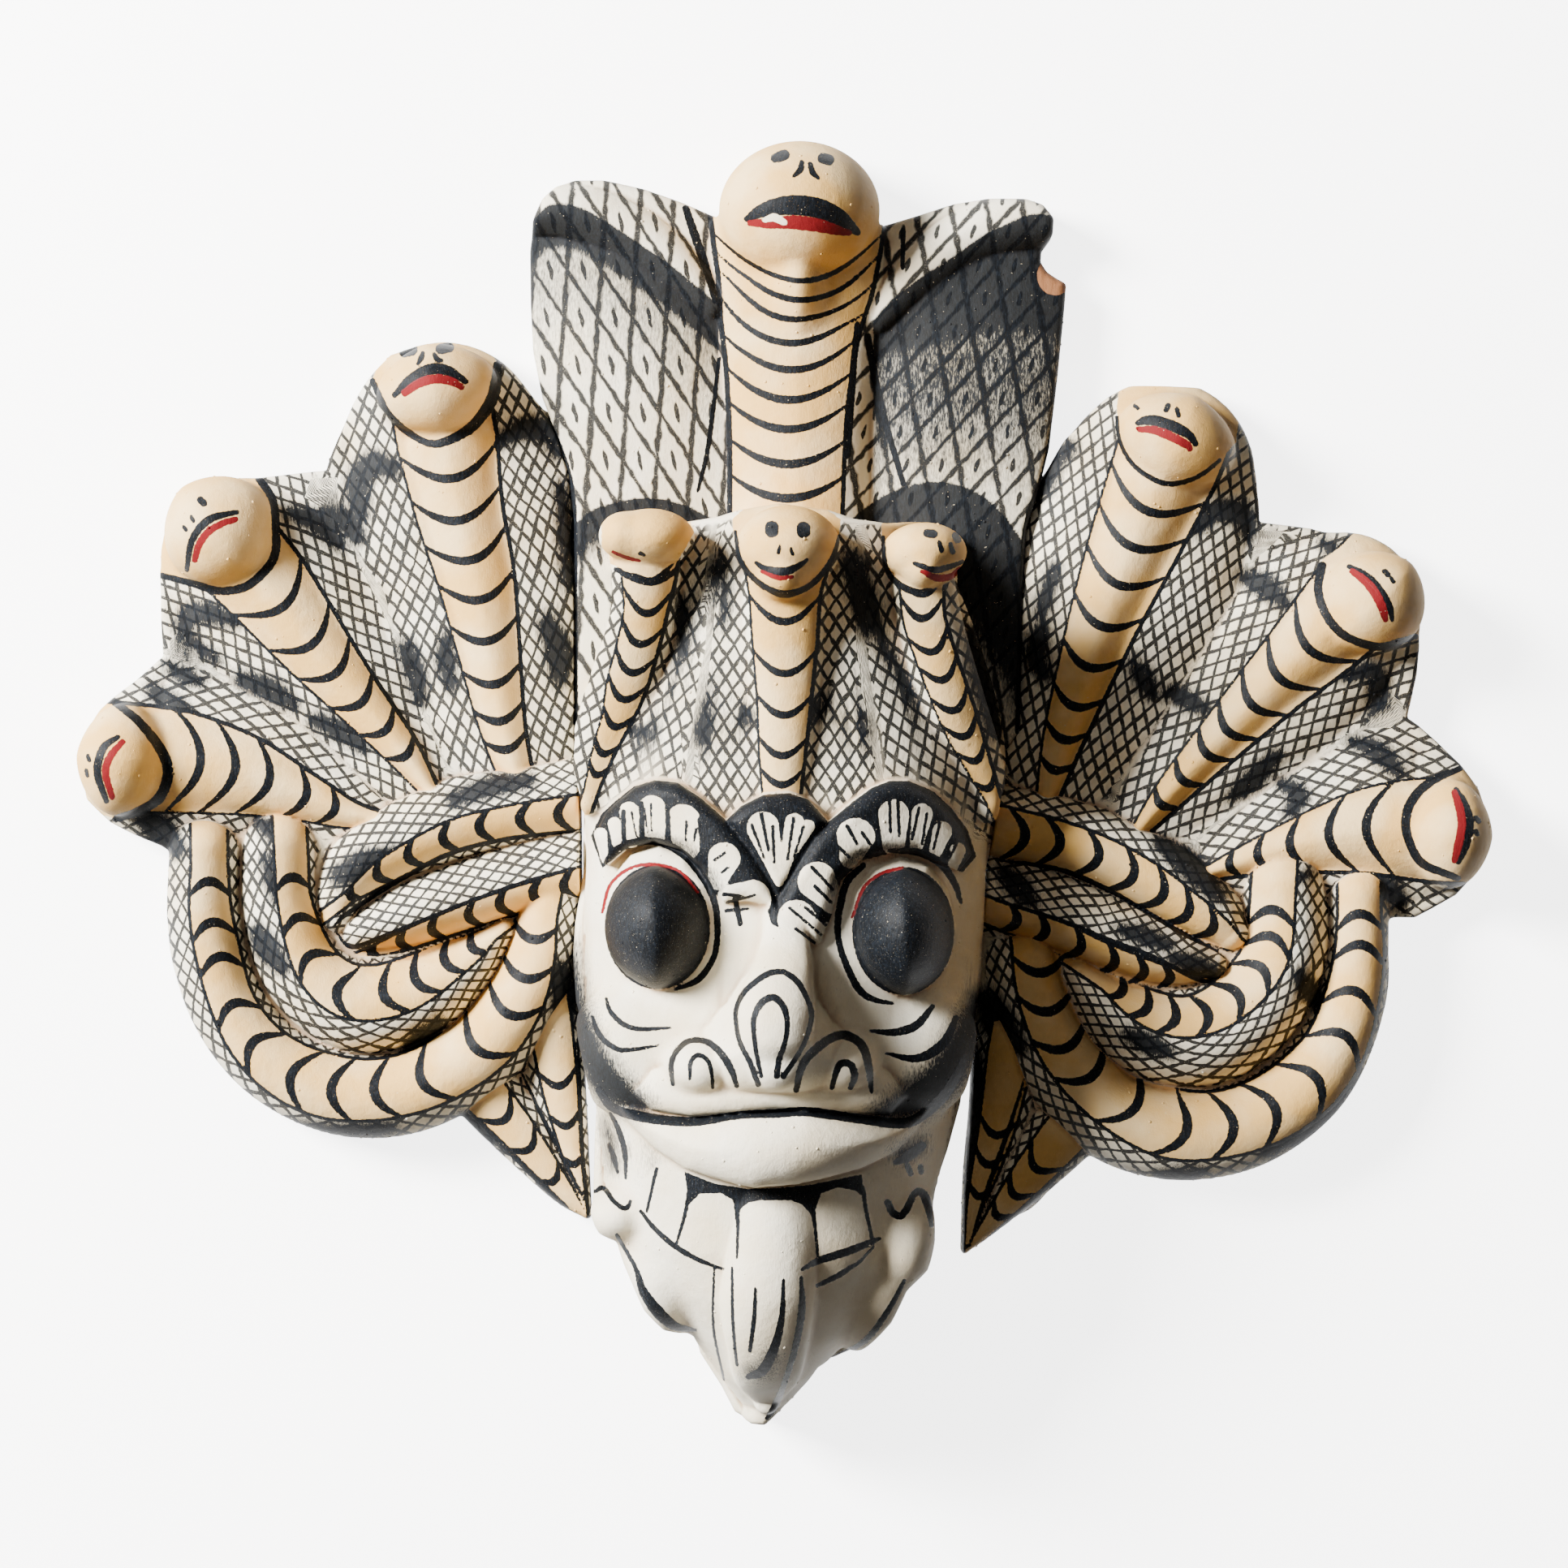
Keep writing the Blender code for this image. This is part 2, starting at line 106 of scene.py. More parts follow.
# Outlines in the front view
CREST_OUTLINE = [
    (706, 935), (706, 640), (700, 583), (689, 545), (667, 489), (655, 430), (652, 373), (651, 306), (656, 270),
    (668, 243), (684, 226), (707, 218), (743, 218), (792, 229), (841, 246), (888, 266), (897, 245), (911, 220),
    (926, 200), (945, 187), (966, 179), (990, 177), (1020, 182), (1042, 195), (1060, 217), (1072, 240),
    (1082, 276), (1131, 262), (1176, 248), (1220, 241), (1265, 242), (1286, 250), (1299, 268), (1298, 288),
    (1285, 306), (1284, 320), (1292, 332), (1303, 339), (1316, 346), (1314, 373), (1305, 462), (1294, 552),
    (1283, 596), (1266, 650), (1262, 720), (1258, 900), (1234, 935),
]
FACE_OUTLINE = [
    (707, 898), (709, 944), (720, 983), (718, 1040), (718, 1078), (708, 1136), (705, 1177), (709, 1234),
    (723, 1291), (731, 1330), (734, 1368), (732, 1406), (730, 1483), (740, 1511), (759, 1521), (782, 1567),
    (797, 1601), (820, 1628), (855, 1640), (862, 1668), (889, 1710), (905, 1741), (925, 1752), (943, 1753),
    (973, 1725), (996, 1698), (1008, 1678), (1027, 1674), (1061, 1659), (1096, 1617), (1115, 1578),
    (1142, 1555), (1149, 1521), (1151, 1467), (1168, 1418), (1184, 1360), (1191, 1310), (1203, 1253),
    (1210, 1196), (1214, 1078), (1222, 1040), (1228, 986), (1241, 944), (1236, 891), (1220, 830), (1200, 770),
    (1180, 720), (1180, 660), (1150, 644), (1090, 652), (1050, 648), (1020, 638), (960, 630), (912, 638),
    (885, 646), (850, 650),
    (780, 640), (748, 662), (752, 700), (764, 745), (747, 799), (720, 850),
]

# The wings: each body is a line of stations (x, y, half width) in the front view
WINGS = {
    "left": {
        "fan": [(700, 560), (664, 498), (628, 463), (607, 446), (548, 427), (481, 438), (435, 501), (416, 539),
                (407, 560), (401, 579), (371, 582), (329, 587), (296, 594), (258, 615), (224, 644), (205, 678),
                (197, 707), (197, 749), (198, 779), (200, 808), (169, 836), (144, 857), (123, 876), (106, 905),
                (100, 947), (106, 985), (135, 1012), (180, 1035), (240, 1060), (460, 1010), (640, 935), (700, 900)],
        "hoods": [
            [(636, 935, 72), (588, 700, 117), (555, 588, 132), (543, 535, 118)],
            [(500, 962, 38), (380, 800, 95), (316, 714, 106), (288, 682, 96)],
            [(455, 1010, 30), (330, 945, 80), (228, 938, 106), (190, 936, 94)],
        ],
        "necks": [
            [(645, 985, 18), (618, 890, 29), (588, 720, 47), (566, 630, 54), (551, 545, 62)],
            [(540, 990, 8), (495, 925, 22), (440, 860, 32), (390, 800, 43), (335, 730, 54), (300, 690, 58)],
            [(475, 1010, 8), (430, 1003, 18), (370, 980, 32), (300, 955, 50), (230, 940, 62), (180, 935, 66)],
        ],
        "heads": [(539, 481, 75, 57), (271, 654, 70, 70), (151, 936, 70, 55)],
        "loops": [
            [(243, 1050, 44), (243, 1140, 46), (268, 1235, 48), (325, 1310, 50), (410, 1352, 52), (500, 1350, 52),
             (585, 1305, 50), (640, 1235, 47), (668, 1165, 42), (678, 1095, 36)],
            [(337, 1045, 45), (338, 1120, 47), (368, 1200, 52), (435, 1244, 57), (510, 1232, 50), (570, 1195, 36),
             (618, 1148, 14)],
            [(725, 978, 47), (630, 993, 50), (553, 1010, 50), (490, 1035, 47), (440, 1065, 42), (416, 1105, 32),
             (412, 1130, 22)],
            [(725, 1062, 44), (640, 1082, 44), (570, 1104, 42), (500, 1128, 38), (440, 1150, 24)],
        ],
        "tails": [
            [(590, 1340, 44), (640, 1400, 36), (695, 1470, 20), (722, 1500, 6)],
            [(678, 1260, 40), (690, 1340, 34), (705, 1420, 20), (722, 1497, 6)],
        ],
        "webs": [(470, 1150, 260, 200), (520, 960, 150, 130), (380, 1030, 140, 80), (690, 1200, 60, 240),
                 (676, 1350, 34, 90), (482, 780, 62, 190, 23), (350, 900, 56, 165, 61),
                 (678, 620, 38, 120, -6)],
        "root": [(712, 560), (714, 930), (718, 1300), (728, 1506)],
    },
    "right": {
        "fan": [(1285, 590), (1314, 540), (1337, 517), (1370, 492), (1398, 487), (1440, 491), (1487, 512), (1519, 535),
                (1538, 554), (1547, 587), (1552, 619), (1553, 643), (1580, 646), (1618, 651), (1655, 665),
                (1697, 687), (1730, 718), (1746, 760), (1750, 797), (1747, 830), (1741, 858), (1735, 884),
                (1748, 893), (1772, 914), (1800, 942), (1822, 974), (1830, 1012), (1827, 1049), (1814, 1080),
                (1795, 1103), (1767, 1119), (1744, 1131), (1690, 1130), (1480, 1085), (1330, 980), (1270, 900)],
        "hoods": [
            [(1312, 950, 58), (1385, 760, 118), (1420, 622, 127), (1436, 578, 114)],
            [(1405, 1020, 36), (1530, 885, 92), (1627, 780, 109), (1662, 749, 96)],
            [(1480, 1085, 26), (1600, 1035, 75), (1702, 1018, 107), (1746, 1018, 92)],
        ],
        "necks": [
            [(1290, 985, 14), (1312, 905, 26), (1358, 770, 43), (1398, 668, 56), (1438, 570, 66)],
            [(1395, 1035, 8), (1440, 980, 20), (1500, 915, 30), (1570, 842, 42), (1630, 782, 54), (1665, 745, 60)],
            [(1480, 1080, 8), (1530, 1062, 18), (1600, 1042, 34), (1680, 1025, 52), (1740, 1022, 62),
             (1780, 1024, 64)],
        ],
        "heads": [(1450, 542, 75, 57), (1692, 742, 64, 66), (1787, 1028, 67, 50)],
        "loops": [
            [(1682, 1105, 38), (1680, 1190, 40), (1665, 1265, 44), (1620, 1340, 50), (1545, 1392, 53),
             (1460, 1405, 56), (1380, 1385, 55), (1320, 1330, 52), (1283, 1265, 46), (1266, 1190, 38)],
            [(1588, 1095, 52), (1590, 1165, 56), (1562, 1232, 58), (1505, 1275, 62), (1440, 1280, 58),
             (1380, 1255, 44), (1332, 1203, 18)],
            [(1215, 1010, 46), (1305, 1025, 46), (1370, 1050, 46), (1440, 1085, 46), (1500, 1125, 38),
             (1525, 1150, 24)],
            [(1212, 1095, 44), (1300, 1122, 46), (1370, 1150, 44), (1440, 1178, 38), (1500, 1192, 18)],
        ],
        "tails": [
            [(1310, 1400, 44), (1266, 1452, 34), (1215, 1515, 15), (1190, 1544, 5)],
            [(1245, 1300, 44), (1228, 1390, 34), (1206, 1470, 20), (1190, 1540, 5)],
        ],
        "webs": [(1450, 1200, 260, 200), (1400, 1000, 150, 130), (1540, 1070, 140, 80), (1260, 1250, 60, 240),
                 (1244, 1400, 34, 90), (1452, 815, 60, 190, -26), (1590, 975, 54, 165, -58),
                 (1292, 760, 50, 170, 6), (1262, 940, 46, 90)],
        "root": [(1246, 560), (1240, 930), (1224, 1000), (1192, 1310), (1184, 1560)],
    },
}
RISES = {"hoods": (7.0, 15.0), "necks": (9.0, 19.5), "loops": (7.0, 20.0), "tails": (6.0, 13.0)}
WING_HEAD_PEAK = 28.5
WING_HEAD_POWERS = (1.6, 2.0, 2.2)      # below 2 the first makes a ridge along the head
WEB_RISE = 9.5
FAN_BOARD = 9.0         # thickness of the scalloped board behind the hoods
WING_BLENDS = {"hoods": 1.5, "necks": 1.0, "loops": 1.5, "tails": 1.0, "heads": 2.0, "webs": 3.0}


def smooth_line(stations, steps=8):
    """A smooth line through stations, by Catmull-Rom, with every column carried along."""
    knots = np.asarray(stations, float)
    if len(knots) < 3:
        return np.array([knots[0] + (knots[-1] - knots[0]) * i / steps for i in range(steps + 1)])
    padded = np.vstack([2 * knots[0] - knots[1], knots, 2 * knots[-1] - knots[-2]])
    out = []
    for a, b, c, d in zip(padded, padded[1:], padded[2:], padded[3:]):
        for i in range(steps):
            t = i / steps
            out.append(0.5 * (2 * b + (c - a) * t + (2 * a - 5 * b + 4 * c - d) * t * t
                              + (3 * b - a - 3 * c + d) * t ** 3))
    out.append(knots[-1])
    return np.array(out)


def along(line, x, y):
    """For each point: length along a line, signed distance to its left, distance, and carried columns."""
    x, y = np.broadcast_arrays(x, y)
    best = np.full(x.shape, 1e12)
    length = np.zeros(x.shape)
    side = np.zeros(x.shape)
    carried = [np.zeros(x.shape) for _ in range(line.shape[1] - 2)]
    run = 0.0
    for start, end in zip(line, line[1:]):
        dx, dy = end[0] - start[0], end[1] - start[1]
        size = math.hypot(dx, dy)
        if size < 1e-9:
            continue
        rx, ry = x - start[0], y - start[1]
        t = np.clip((rx * dx + ry * dy) / (size * size), 0.0, 1.0)
        gap = (rx - t * dx) ** 2 + (ry - t * dy) ** 2
        near = gap < best
        best = np.where(near, gap, best)
        length = np.where(near, run + t * size, length)
        side = np.where(near, (dx * ry - dy * rx) / size, side)
        for i, column in enumerate(carried):
            carried[i] = np.where(near, start[2 + i] + t * (end[2 + i] - start[2 + i]), column)
        run += size
    gap = np.sqrt(best)
    return length, np.copysign(gap, side), gap, carried


def polygon_depth(points, x, y):
    """Signed distance to a closed outline, negative inside."""
    ring = np.asarray(points, float)
    x, y = np.broadcast_arrays(x, y)
    best = np.full(x.shape, 1e12)
    inside = np.zeros(x.shape, bool)
    for start, end in zip(ring, np.roll(ring, -1, axis=0)):
        dx, dy = end - start
        rx, ry = x - start[0], y - start[1]
        t = np.clip((rx * dx + ry * dy) / (dx * dx + dy * dy), 0.0, 1.0)
        best = np.minimum(best, (rx - t * dx) ** 2 + (ry - t * dy) ** 2)
        crosses = (start[1] > y) != (end[1] > y)
        if dy:
            inside ^= crosses & (x < start[0] + (y - start[1]) * dx / dy)
    return np.where(inside, -np.sqrt(best), np.sqrt(best))


def pillow(outline, middle, peak, fall, rise, width):
    """A raised form inside an outline in pixels; its top falls away from the middle x, its rim is rounded."""
    def field(gx, gy, gz):
        px, py = to_view(gx, gy, peak)
        deep = -polygon_depth(outline, px, py) * PIXEL
        share = np.clip(deep / width, 0.0, 1.0)
        top = peak - fall * ((px - middle) / 250.0) ** 2 - rise * (1.0 - np.sqrt(1.0 - (1.0 - share) ** 2))
        return soft_max((gz - top) * 0.8, -deep, 0.8)
    x, y = to_mm([place[0] for place in outline], [place[1] for place in outline], peak)
    return bounded(field, x, y, 0.0)


def soft_min(a, b, k):
    """The lower of two fields, blended over k millimetres."""
    h = np.clip(0.5 + 0.5 * (b - a) / k, 0.0, 1.0)
    return b + (a - b) * h - k * h * (1.0 - h)


def soft_max(a, b, k):
    """The higher of two fields, blended over k millimetres."""
    return -soft_min(-a, -b, k)


def bounded(field, xs, ys, reach):
    """Note the box in millimetres outside which a field is of no use."""
    margin = 4.0 + np.max(reach)
    field.box = (np.min(xs) - margin, np.max(xs) + margin, np.min(ys) - margin, np.max(ys) + margin)
    return field


def lay(total, part, blend, gx, gy, gz):
    """Blend one form into a block of values, inside its own box only."""
    x0, x1 = np.searchsorted(gx[:, 0, 0], part.box[:2])
    y0, y1 = np.searchsorted(gy[0, :, 0], part.box[2:])
    if x1 > x0 and y1 > y0:
        block = total[x0:x1, y0:y1]
        total[x0:x1, y0:y1] = soft_min(block, part(gx[x0:x1], gy[:, y0:y1], gz), blend)


def body(stations, height, low, high, power=2.0):
    """A snake lying on the board: its sides rise from low to high at its middle line."""
    line = smooth_line(stations)
    x, y = to_mm(line[:, 0], line[:, 1], height)
    near = (CAMERA_HEIGHT - height) / CAMERA_HEIGHT
    in_mm = np.column_stack([x, y, line[:, 2] * PIXEL * near])
    widest = in_mm[:, 2].max()

    def field(gx, gy, gz):
        _, _, gap, (half,) = along(in_mm, gx, gy)
        share = np.clip(gap / half, 0.0, 1.0)
        rise = (high - low) * (0.35 + 0.65 * half / widest)
        top = low + rise * np.sqrt(np.clip(1.0 - share ** power, 0.0, 1.0))
        return soft_max((gz - top) * 0.75, gap - half, 1.2)
    return bounded(field, x, y, in_mm[:, 2])


def mound(px, py, half_x, half_y, z, half_z, turn=0.0, powers=(2.0, 2.0, 2.0)):
    """An egg in the front view, its half width and height in pixels and its depth in millimetres."""
    cx, cy = to_mm(px, py, z)
    near = (CAMERA_HEIGHT - z) / CAMERA_HEIGHT
    a, b, c = half_x * PIXEL * near, half_y * PIXEL * near, half_z
    cos, sin = math.cos(ROLL + math.radians(turn)), math.sin(ROLL + math.radians(turn))

    def field(gx, gy, gz):
        u = np.abs((gx - cx) * cos + (gy - cy) * sin) / a
        v = np.abs(-(gx - cx) * sin + (gy - cy) * cos) / b
        w = np.abs(gz - z) / c
        total = u ** powers[0] + v ** powers[1] + w ** powers[2]
        reach = np.sqrt(total)
        slope = np.sqrt(u * u / (a * a) + v * v / (b * b) + w * w / (c * c)) + 1e-6
        return reach * (reach - 1.0) / np.maximum(slope, reach / max(a, b, c))
    return bounded(field, cx, cy, max(a, b))


def band(stations, power=2.0, sharp=0.8):
    """A raised band on the face: stations (x, y, z of its top, half width); its sides fall away steeply."""
    line = smooth_line(stations)
    middle = float(np.mean([station[2] for station in stations]))
    x, y = to_mm(line[:, 0], line[:, 1], middle)
    near = (CAMERA_HEIGHT - middle) / CAMERA_HEIGHT
    in_mm = np.column_stack([x, y, line[:, 2], line[:, 3] * PIXEL * near])

    def field(gx, gy, gz):
        _, _, gap, (top, half) = along(in_mm, gx, gy)
        share = np.clip(gap / half, 0.0, 1.0)
        surface = top - half * sharp * (1.0 - np.sqrt(np.clip(1.0 - share ** power, 0.0, 1.0)))
        return soft_max((gz - surface) * 0.8, gap - half, 1.0)
    return bounded(field, x, y, in_mm[:, 3])


def outline_wall(points, height):
    """The side wall of a board, as a signed distance to its outline."""
    x, y = to_mm([p[0] for p in points], [p[1] for p in points], height)
    ring = list(zip(x, y))

    def field(gx, gy, gz):
        return polygon_depth(ring, gx, gy)
    return field


def grid_of(low, high, spacing):
    """Three grids of coordinates in millimetres that fill a box."""
    axes = [np.arange(low[i] - 3 * spacing, high[i] + 3.5 * spacing, spacing) for i in range(3)]
    return axes[0][:, None, None], axes[1][None, :, None], axes[2][None, None, :]


def skin_of(field, low, high, spacing):
    """The surface of a field as points in millimetres and four-sided faces."""
    gx, gy, gz = grid_of(low, high, spacing)
    values = np.broadcast_to(field(gx, gy, gz), (gx.size, gy.size, gz.size)).astype(np.float32)
    volume = openvdb.FloatGrid(30.0)
    volume.copyFromArray(np.ascontiguousarray(values))
    points, quads = volume.convertToQuads(isovalue=0.0)
    points = np.asarray(points, float) * spacing + [gx.min(), gy.min(), gz.min()]
    return points, quads


# The crest: a cobra's spread hood with the neck down its middle
CREST_NECK = [(985, 640, 88), (984, 540, 90), (983, 430, 98), (984, 340, 108), (984, 290, 112)]
CREST_HEAD = (985, 260, 99, 85)
CREST_RIDGES = {
    "left": [(640, 262, 26), (700, 258, 34), (760, 275, 34), (820, 312, 30), (880, 372, 18)],
    "right": [(1316, 275, 26), (1262, 272, 34), (1200, 285, 34), (1140, 325, 30), (1082, 392, 18)],
}
CREST_LOBES = {"left": (775, 480, 150, 330), "right": (1195, 490, 150, 330)}
CREST_EDGE = 8.5
CREST_TOP = 13.0


def crest_field():
    """The board, the two lobes of the hood, the ridges under its rim, the neck and the head."""
    wall = outline_wall(CREST_OUTLINE, CREST_TOP)
    lobes = [mound(*place, 0.0, CREST_TOP, powers=(2.2, 2.2, 2.0)) for place in CREST_LOBES.values()]
    ridges = [body(line, CREST_TOP, 6.0, CREST_TOP + 2.0) for line in CREST_RIDGES.values()]
    neck = body(CREST_NECK, 16.0, 7.0, 19.5, power=1.5)
    x, y, half_x, half_y = CREST_HEAD
    head = mound(x, y, half_x, half_y, 14.0, 19.4)
    keel = mound(984, 335, 46, 92, 9.0, 16.2, powers=(1.7, 2.0, 2.0))

    def field(gx, gy, gz):
        board = np.zeros((gx.size, gy.size, gz.size), np.float32) + (gz - CREST_EDGE)
        for lobe in lobes:
            lay(board, lobe, 3.0, gx, gy, gz)
        for ridge in ridges:
            lay(board, ridge, 5.0, gx, gy, gz)
        lay(board, neck, 1.2, gx, gy, gz)
        board = soft_max(board, wall(gx, gy, gz), 2.0)
        lay(board, keel, 3.5, gx, gy, gz)
        lay(board, head, 2.0, gx, gy, gz)
        return np.maximum(board, -gz)
    return field


def wing_head(plan, index):
    """A snake's head on a wing: a dome with a blunt ridge that runs on from its neck."""
    (x0, y0, _), (x1, y1, _) = plan["necks"][index][-2:]
    turn = math.degrees(math.atan2(x0 - x1, y0 - y1))
    return mound(*plan["heads"][index], WING_HEAD_PEAK / 2, WING_HEAD_PEAK / 2, turn, WING_HEAD_POWERS)


def wing_fields(plan):
    """The bodies of one wing in groups, each with its own field."""
    fields = []
    for group, (low, high) in RISES.items():
        for stations in plan[group]:
            power = 1.6 if group == "necks" else 2.0
            fields.append((group, body(stations, high, low, high, power)))
    fields += [("heads", wing_head(plan, index)) for index in range(3)]
    for x, y, half_x, half_y, *turn in plan["webs"]:
        fields.append(("webs", mound(x, y, half_x, half_y, 0.0, WEB_RISE, *turn)))
    return fields


def wing_field(side):
    """One wing: the lower bodies first, then what lies on them, cut straight along its root."""
    plan = WINGS[side]
    parts = wing_fields(plan)
    turn = 1.0 if side == "left" else -1.0
    root = smooth_line([(x, y) for x, y in plan["root"]], 1)
    rx, ry = to_mm(root[:, 0], root[:, 1], 10.0)
    beyond = 400.0 * turn
    edge = list(zip(rx, ry)) + [(rx[-1] + beyond, ry[-1]), (rx[0] + beyond, ry[0])]
    fan = outline_wall(plan["fan"], FAN_BOARD)

    def field(gx, gy, gz):
        total = np.full((gx.size, gy.size, gz.size), 9.0, np.float32)
        for group, part in parts:
            lay(total, part, WING_BLENDS[group], gx, gy, gz)
        total = soft_min(total, soft_max(fan(gx, gy, gz), gz - FAN_BOARD, 1.5), 2.0)
        total = soft_max(total, -polygon_depth(edge, gx, gy), 0.6)
        total = np.maximum(total, -polygon_depth(face_room(), gx, gy))
        total = np.maximum(total, -polygon_depth(crest_room(), gx, gy))
        return np.maximum(total, -gz)
    return field


def room(outline, height, gap):
    """An outline in millimetres, grown by a gap from its middle."""
    x, y = to_mm([p[0] for p in outline], [p[1] for p in outline], height)
    ring = np.column_stack([x, y])
    before, after = np.roll(ring, 1, axis=0), np.roll(ring, -1, axis=0)
    tangent = after - before
    tangent /= np.linalg.norm(tangent, axis=1)[:, None]
    normal = np.column_stack([tangent[:, 1], -tangent[:, 0]])
    area = np.sum(ring[:, 0] * after[:, 1] - ring[:, 1] * after[:, 0])
    return ring + normal * gap * math.copysign(1.0, area)


JOINT = 0.12        # the gap between two pieces, in millimetres


def face_room():
    return room(FACE_OUTLINE, FACE_RIM, JOINT)


def crest_room():
    return room(CREST_OUTLINE, CREST_TOP, JOINT)


# The face, in the front view: heights in millimetres above the back
FACE_RIM = 16.0
MIDLINE = [  # (y, x of the middle, height of the shell)
    (626, 968, 47), (700, 968, 50), (800, 968, 52), (900, 970, 53), (980, 972, 54), (1060, 970, 55),
    (1170, 966, 58), (1280, 962, 60), (1350, 958, 60), (1440, 952, 57), (1480, 950, 56), (1540, 948, 55),
    (1600, 950, 51), (1660, 950, 44), (1710, 946, 35), (1753, 943, 22),
]
HALF_WIDTHS = [  # (y, half width of the shell)
    (626, 175), (700, 205), (800, 235), (900, 262), (960, 266), (1040, 254), (1130, 254), (1230, 248),
    (1310, 238), (1400, 222), (1480, 210), (1530, 200), (1570, 180), (1620, 142), (1680, 88), (1720, 56),
    (1753, 30),
]
EYES = {"left": (810, 1142, 65, 77), "right": (1113, 1147, 63, 79)}
EYE_POWERS = (1.45, 2.2, 2.2)       # below 2 the first makes an upright ridge
EYE_RINGS = {
    "left": [(741, 1131), (750, 1085), (775, 1054), (811, 1043), (845, 1055), (872, 1090), (881, 1135),
             (873, 1180), (845, 1208), (807, 1219), (770, 1205), (748, 1175)],
    "right": [(1040, 1144), (1049, 1098), (1075, 1067), (1111, 1056), (1146, 1067), (1171, 1100), (1180, 1144),
              (1171, 1190), (1143, 1221), (1109, 1231), (1071, 1219), (1048, 1186)],
}
PILLOWS = {  # outline, then (middle x, peak, fall, rise, width)
    "brow left": ([(728, 1030), (741, 1003), (757, 988), (781, 969), (807, 961), (834, 964), (862, 982),
                   (892, 1008), (920, 1040), (941, 1071), (958, 1106), (964, 1146), (950, 1138), (944, 1116),
                   (918, 1110), (892, 1114), (880, 1100), (862, 1070), (838, 1048), (803, 1038), (769, 1048), (742, 1070)],
                  (966, 62, 17, 4.5, 4.0)),
    "brow right": ([(958, 1106), (975, 1076), (988, 1052), (1003, 1030), (1026, 1008), (1050, 988), (1075, 970),
                    (1096, 962), (1120, 962), (1150, 975), (1172, 995), (1192, 1022), (1203, 1055), (1186, 1075),
                    (1160, 1066), (1130, 1052), (1096, 1052), (1062, 1060), (1036, 1085), (1024, 1130),
                    (1010, 1165), (980, 1150), (958, 1132)], (966, 62, 17, 4.5, 4.0)),
    "brow middle": ([(893, 1012), (913, 993), (941, 979), (972, 977), (996, 985), (1020, 1012), (1000, 1045),
                     (980, 1078), (958, 1110), (936, 1072), (912, 1036)], (966, 61, 10, 3.5, 3.5)),
    "nose": ([(944, 1188), (960, 1176), (976, 1180), (994, 1200), (1008, 1236), (1028, 1262), (1052, 1274),
              (1072, 1300), (1082, 1352), (1020, 1354), (958, 1352), (890, 1354), (822, 1348), (824, 1306),
              (842, 1278), (872, 1262), (894, 1240), (914, 1212)], (955, 76.5, 90, 13.0, 15.0)),
    "muzzle": ([(776, 1352), (800, 1322), (850, 1300), (900, 1290), (960, 1286), (1020, 1292), (1066, 1302),
                (1100, 1326), (1120, 1356), (1100, 1378), (1055, 1376), (957, 1370), (851, 1380), (800, 1374)],
               (956, 66, 22, 5.0, 5.0)),
    "lip": ([(731, 1328), (738, 1345), (754, 1366), (790, 1379), (851, 1385), (912, 1377), (957, 1375),
             (994, 1373), (1055, 1381), (1108, 1387), (1134, 1379), (1165, 1350), (1191, 1302), (1180, 1346),
             (1154, 1382), (1134, 1404), (1103, 1431), (1063, 1447), (1022, 1456), (981, 1464), (930, 1468),
             (910, 1465), (843, 1448), (803, 1425), (763, 1389)], (950, 71, 34, 8.0, 9.0)),
}
FACE_BANDS = {
    "bridge": [(966, 1100, 59, 24), (968, 1150, 64, 28), (966, 1190, 72, 36), (958, 1235, 78.5, 46),
               (956, 1280, 79, 46), (956, 1306, 76, 40)],
    "tongue": [(953, 1500, 58.5, 52), (948, 1560, 59.5, 58), (945, 1610, 58.5, 58), (945, 1665, 53, 50),
               (944, 1712, 43, 40), (944, 1746, 30, 16)],
    "snake left": [(796, 705, 57, 42), (786, 770, 53, 44), (768, 840, 48, 44), (745, 910, 42, 40),
                   (724, 975, 36, 30)],
    "snake middle": [(967, 720, 61, 52), (967, 800, 59, 48), (966, 880, 58, 42), (964, 975, 57, 30)],
    "snake right": [(1138, 722, 57, 38), (1152, 790, 53, 40), (1172, 860, 48, 42), (1196, 920, 42, 38),
                    (1222, 985, 36, 30)],
}
FACE_MOUNDS = [
    (822, 1560, 70, 90, 22, 22), (1068, 1570, 78, 96, 22, 20), (796, 1292, 96, 90, 36, 18),
    (1112, 1292, 96, 90, 36, 18), (868, 1314, 50, 38, 54, 14.5), (1032, 1312, 52, 40, 54, 14.5),
    (764, 1496, 40, 34, 32, 11), (1114, 1522, 44, 62, 32, 13.5),
]
SMALL_HEADS = [
    (802, 663, 54, 36, 52, 11.5), (768, 660, 30, 29, 54, 9.0), (971, 675, 65, 52, 55, 15.5),
    (966, 708, 36, 34, 59, 11), (1139, 680, 52, 36, 53, 12.5), (1140, 700, 28, 26, 55, 10),
]
EYE_HEIGHT = 50.0
EYE_RISE = 19.5
HOLLOW = (960, 1180, 42.0, 100.0, 44.0)     # its middle, then half width, half height and depth in millimetres


def shell_height(gx, gy):
    """The face without its features: a dome across each level of the midline."""
    px, py = to_view(gx, gy, 45.0)
    level, middle, peak = np.array(MIDLINE, float).T
    centre = np.interp(py, level, middle)
    height = np.interp(py, level, peak)
    half = np.interp(py, *np.array(HALF_WIDTHS, float).T)
    share = np.clip(np.abs(px - centre) / half, 0.0, 1.0)
    return FACE_RIM + (height - FACE_RIM) * np.sqrt(1.0 - share ** 2.3)


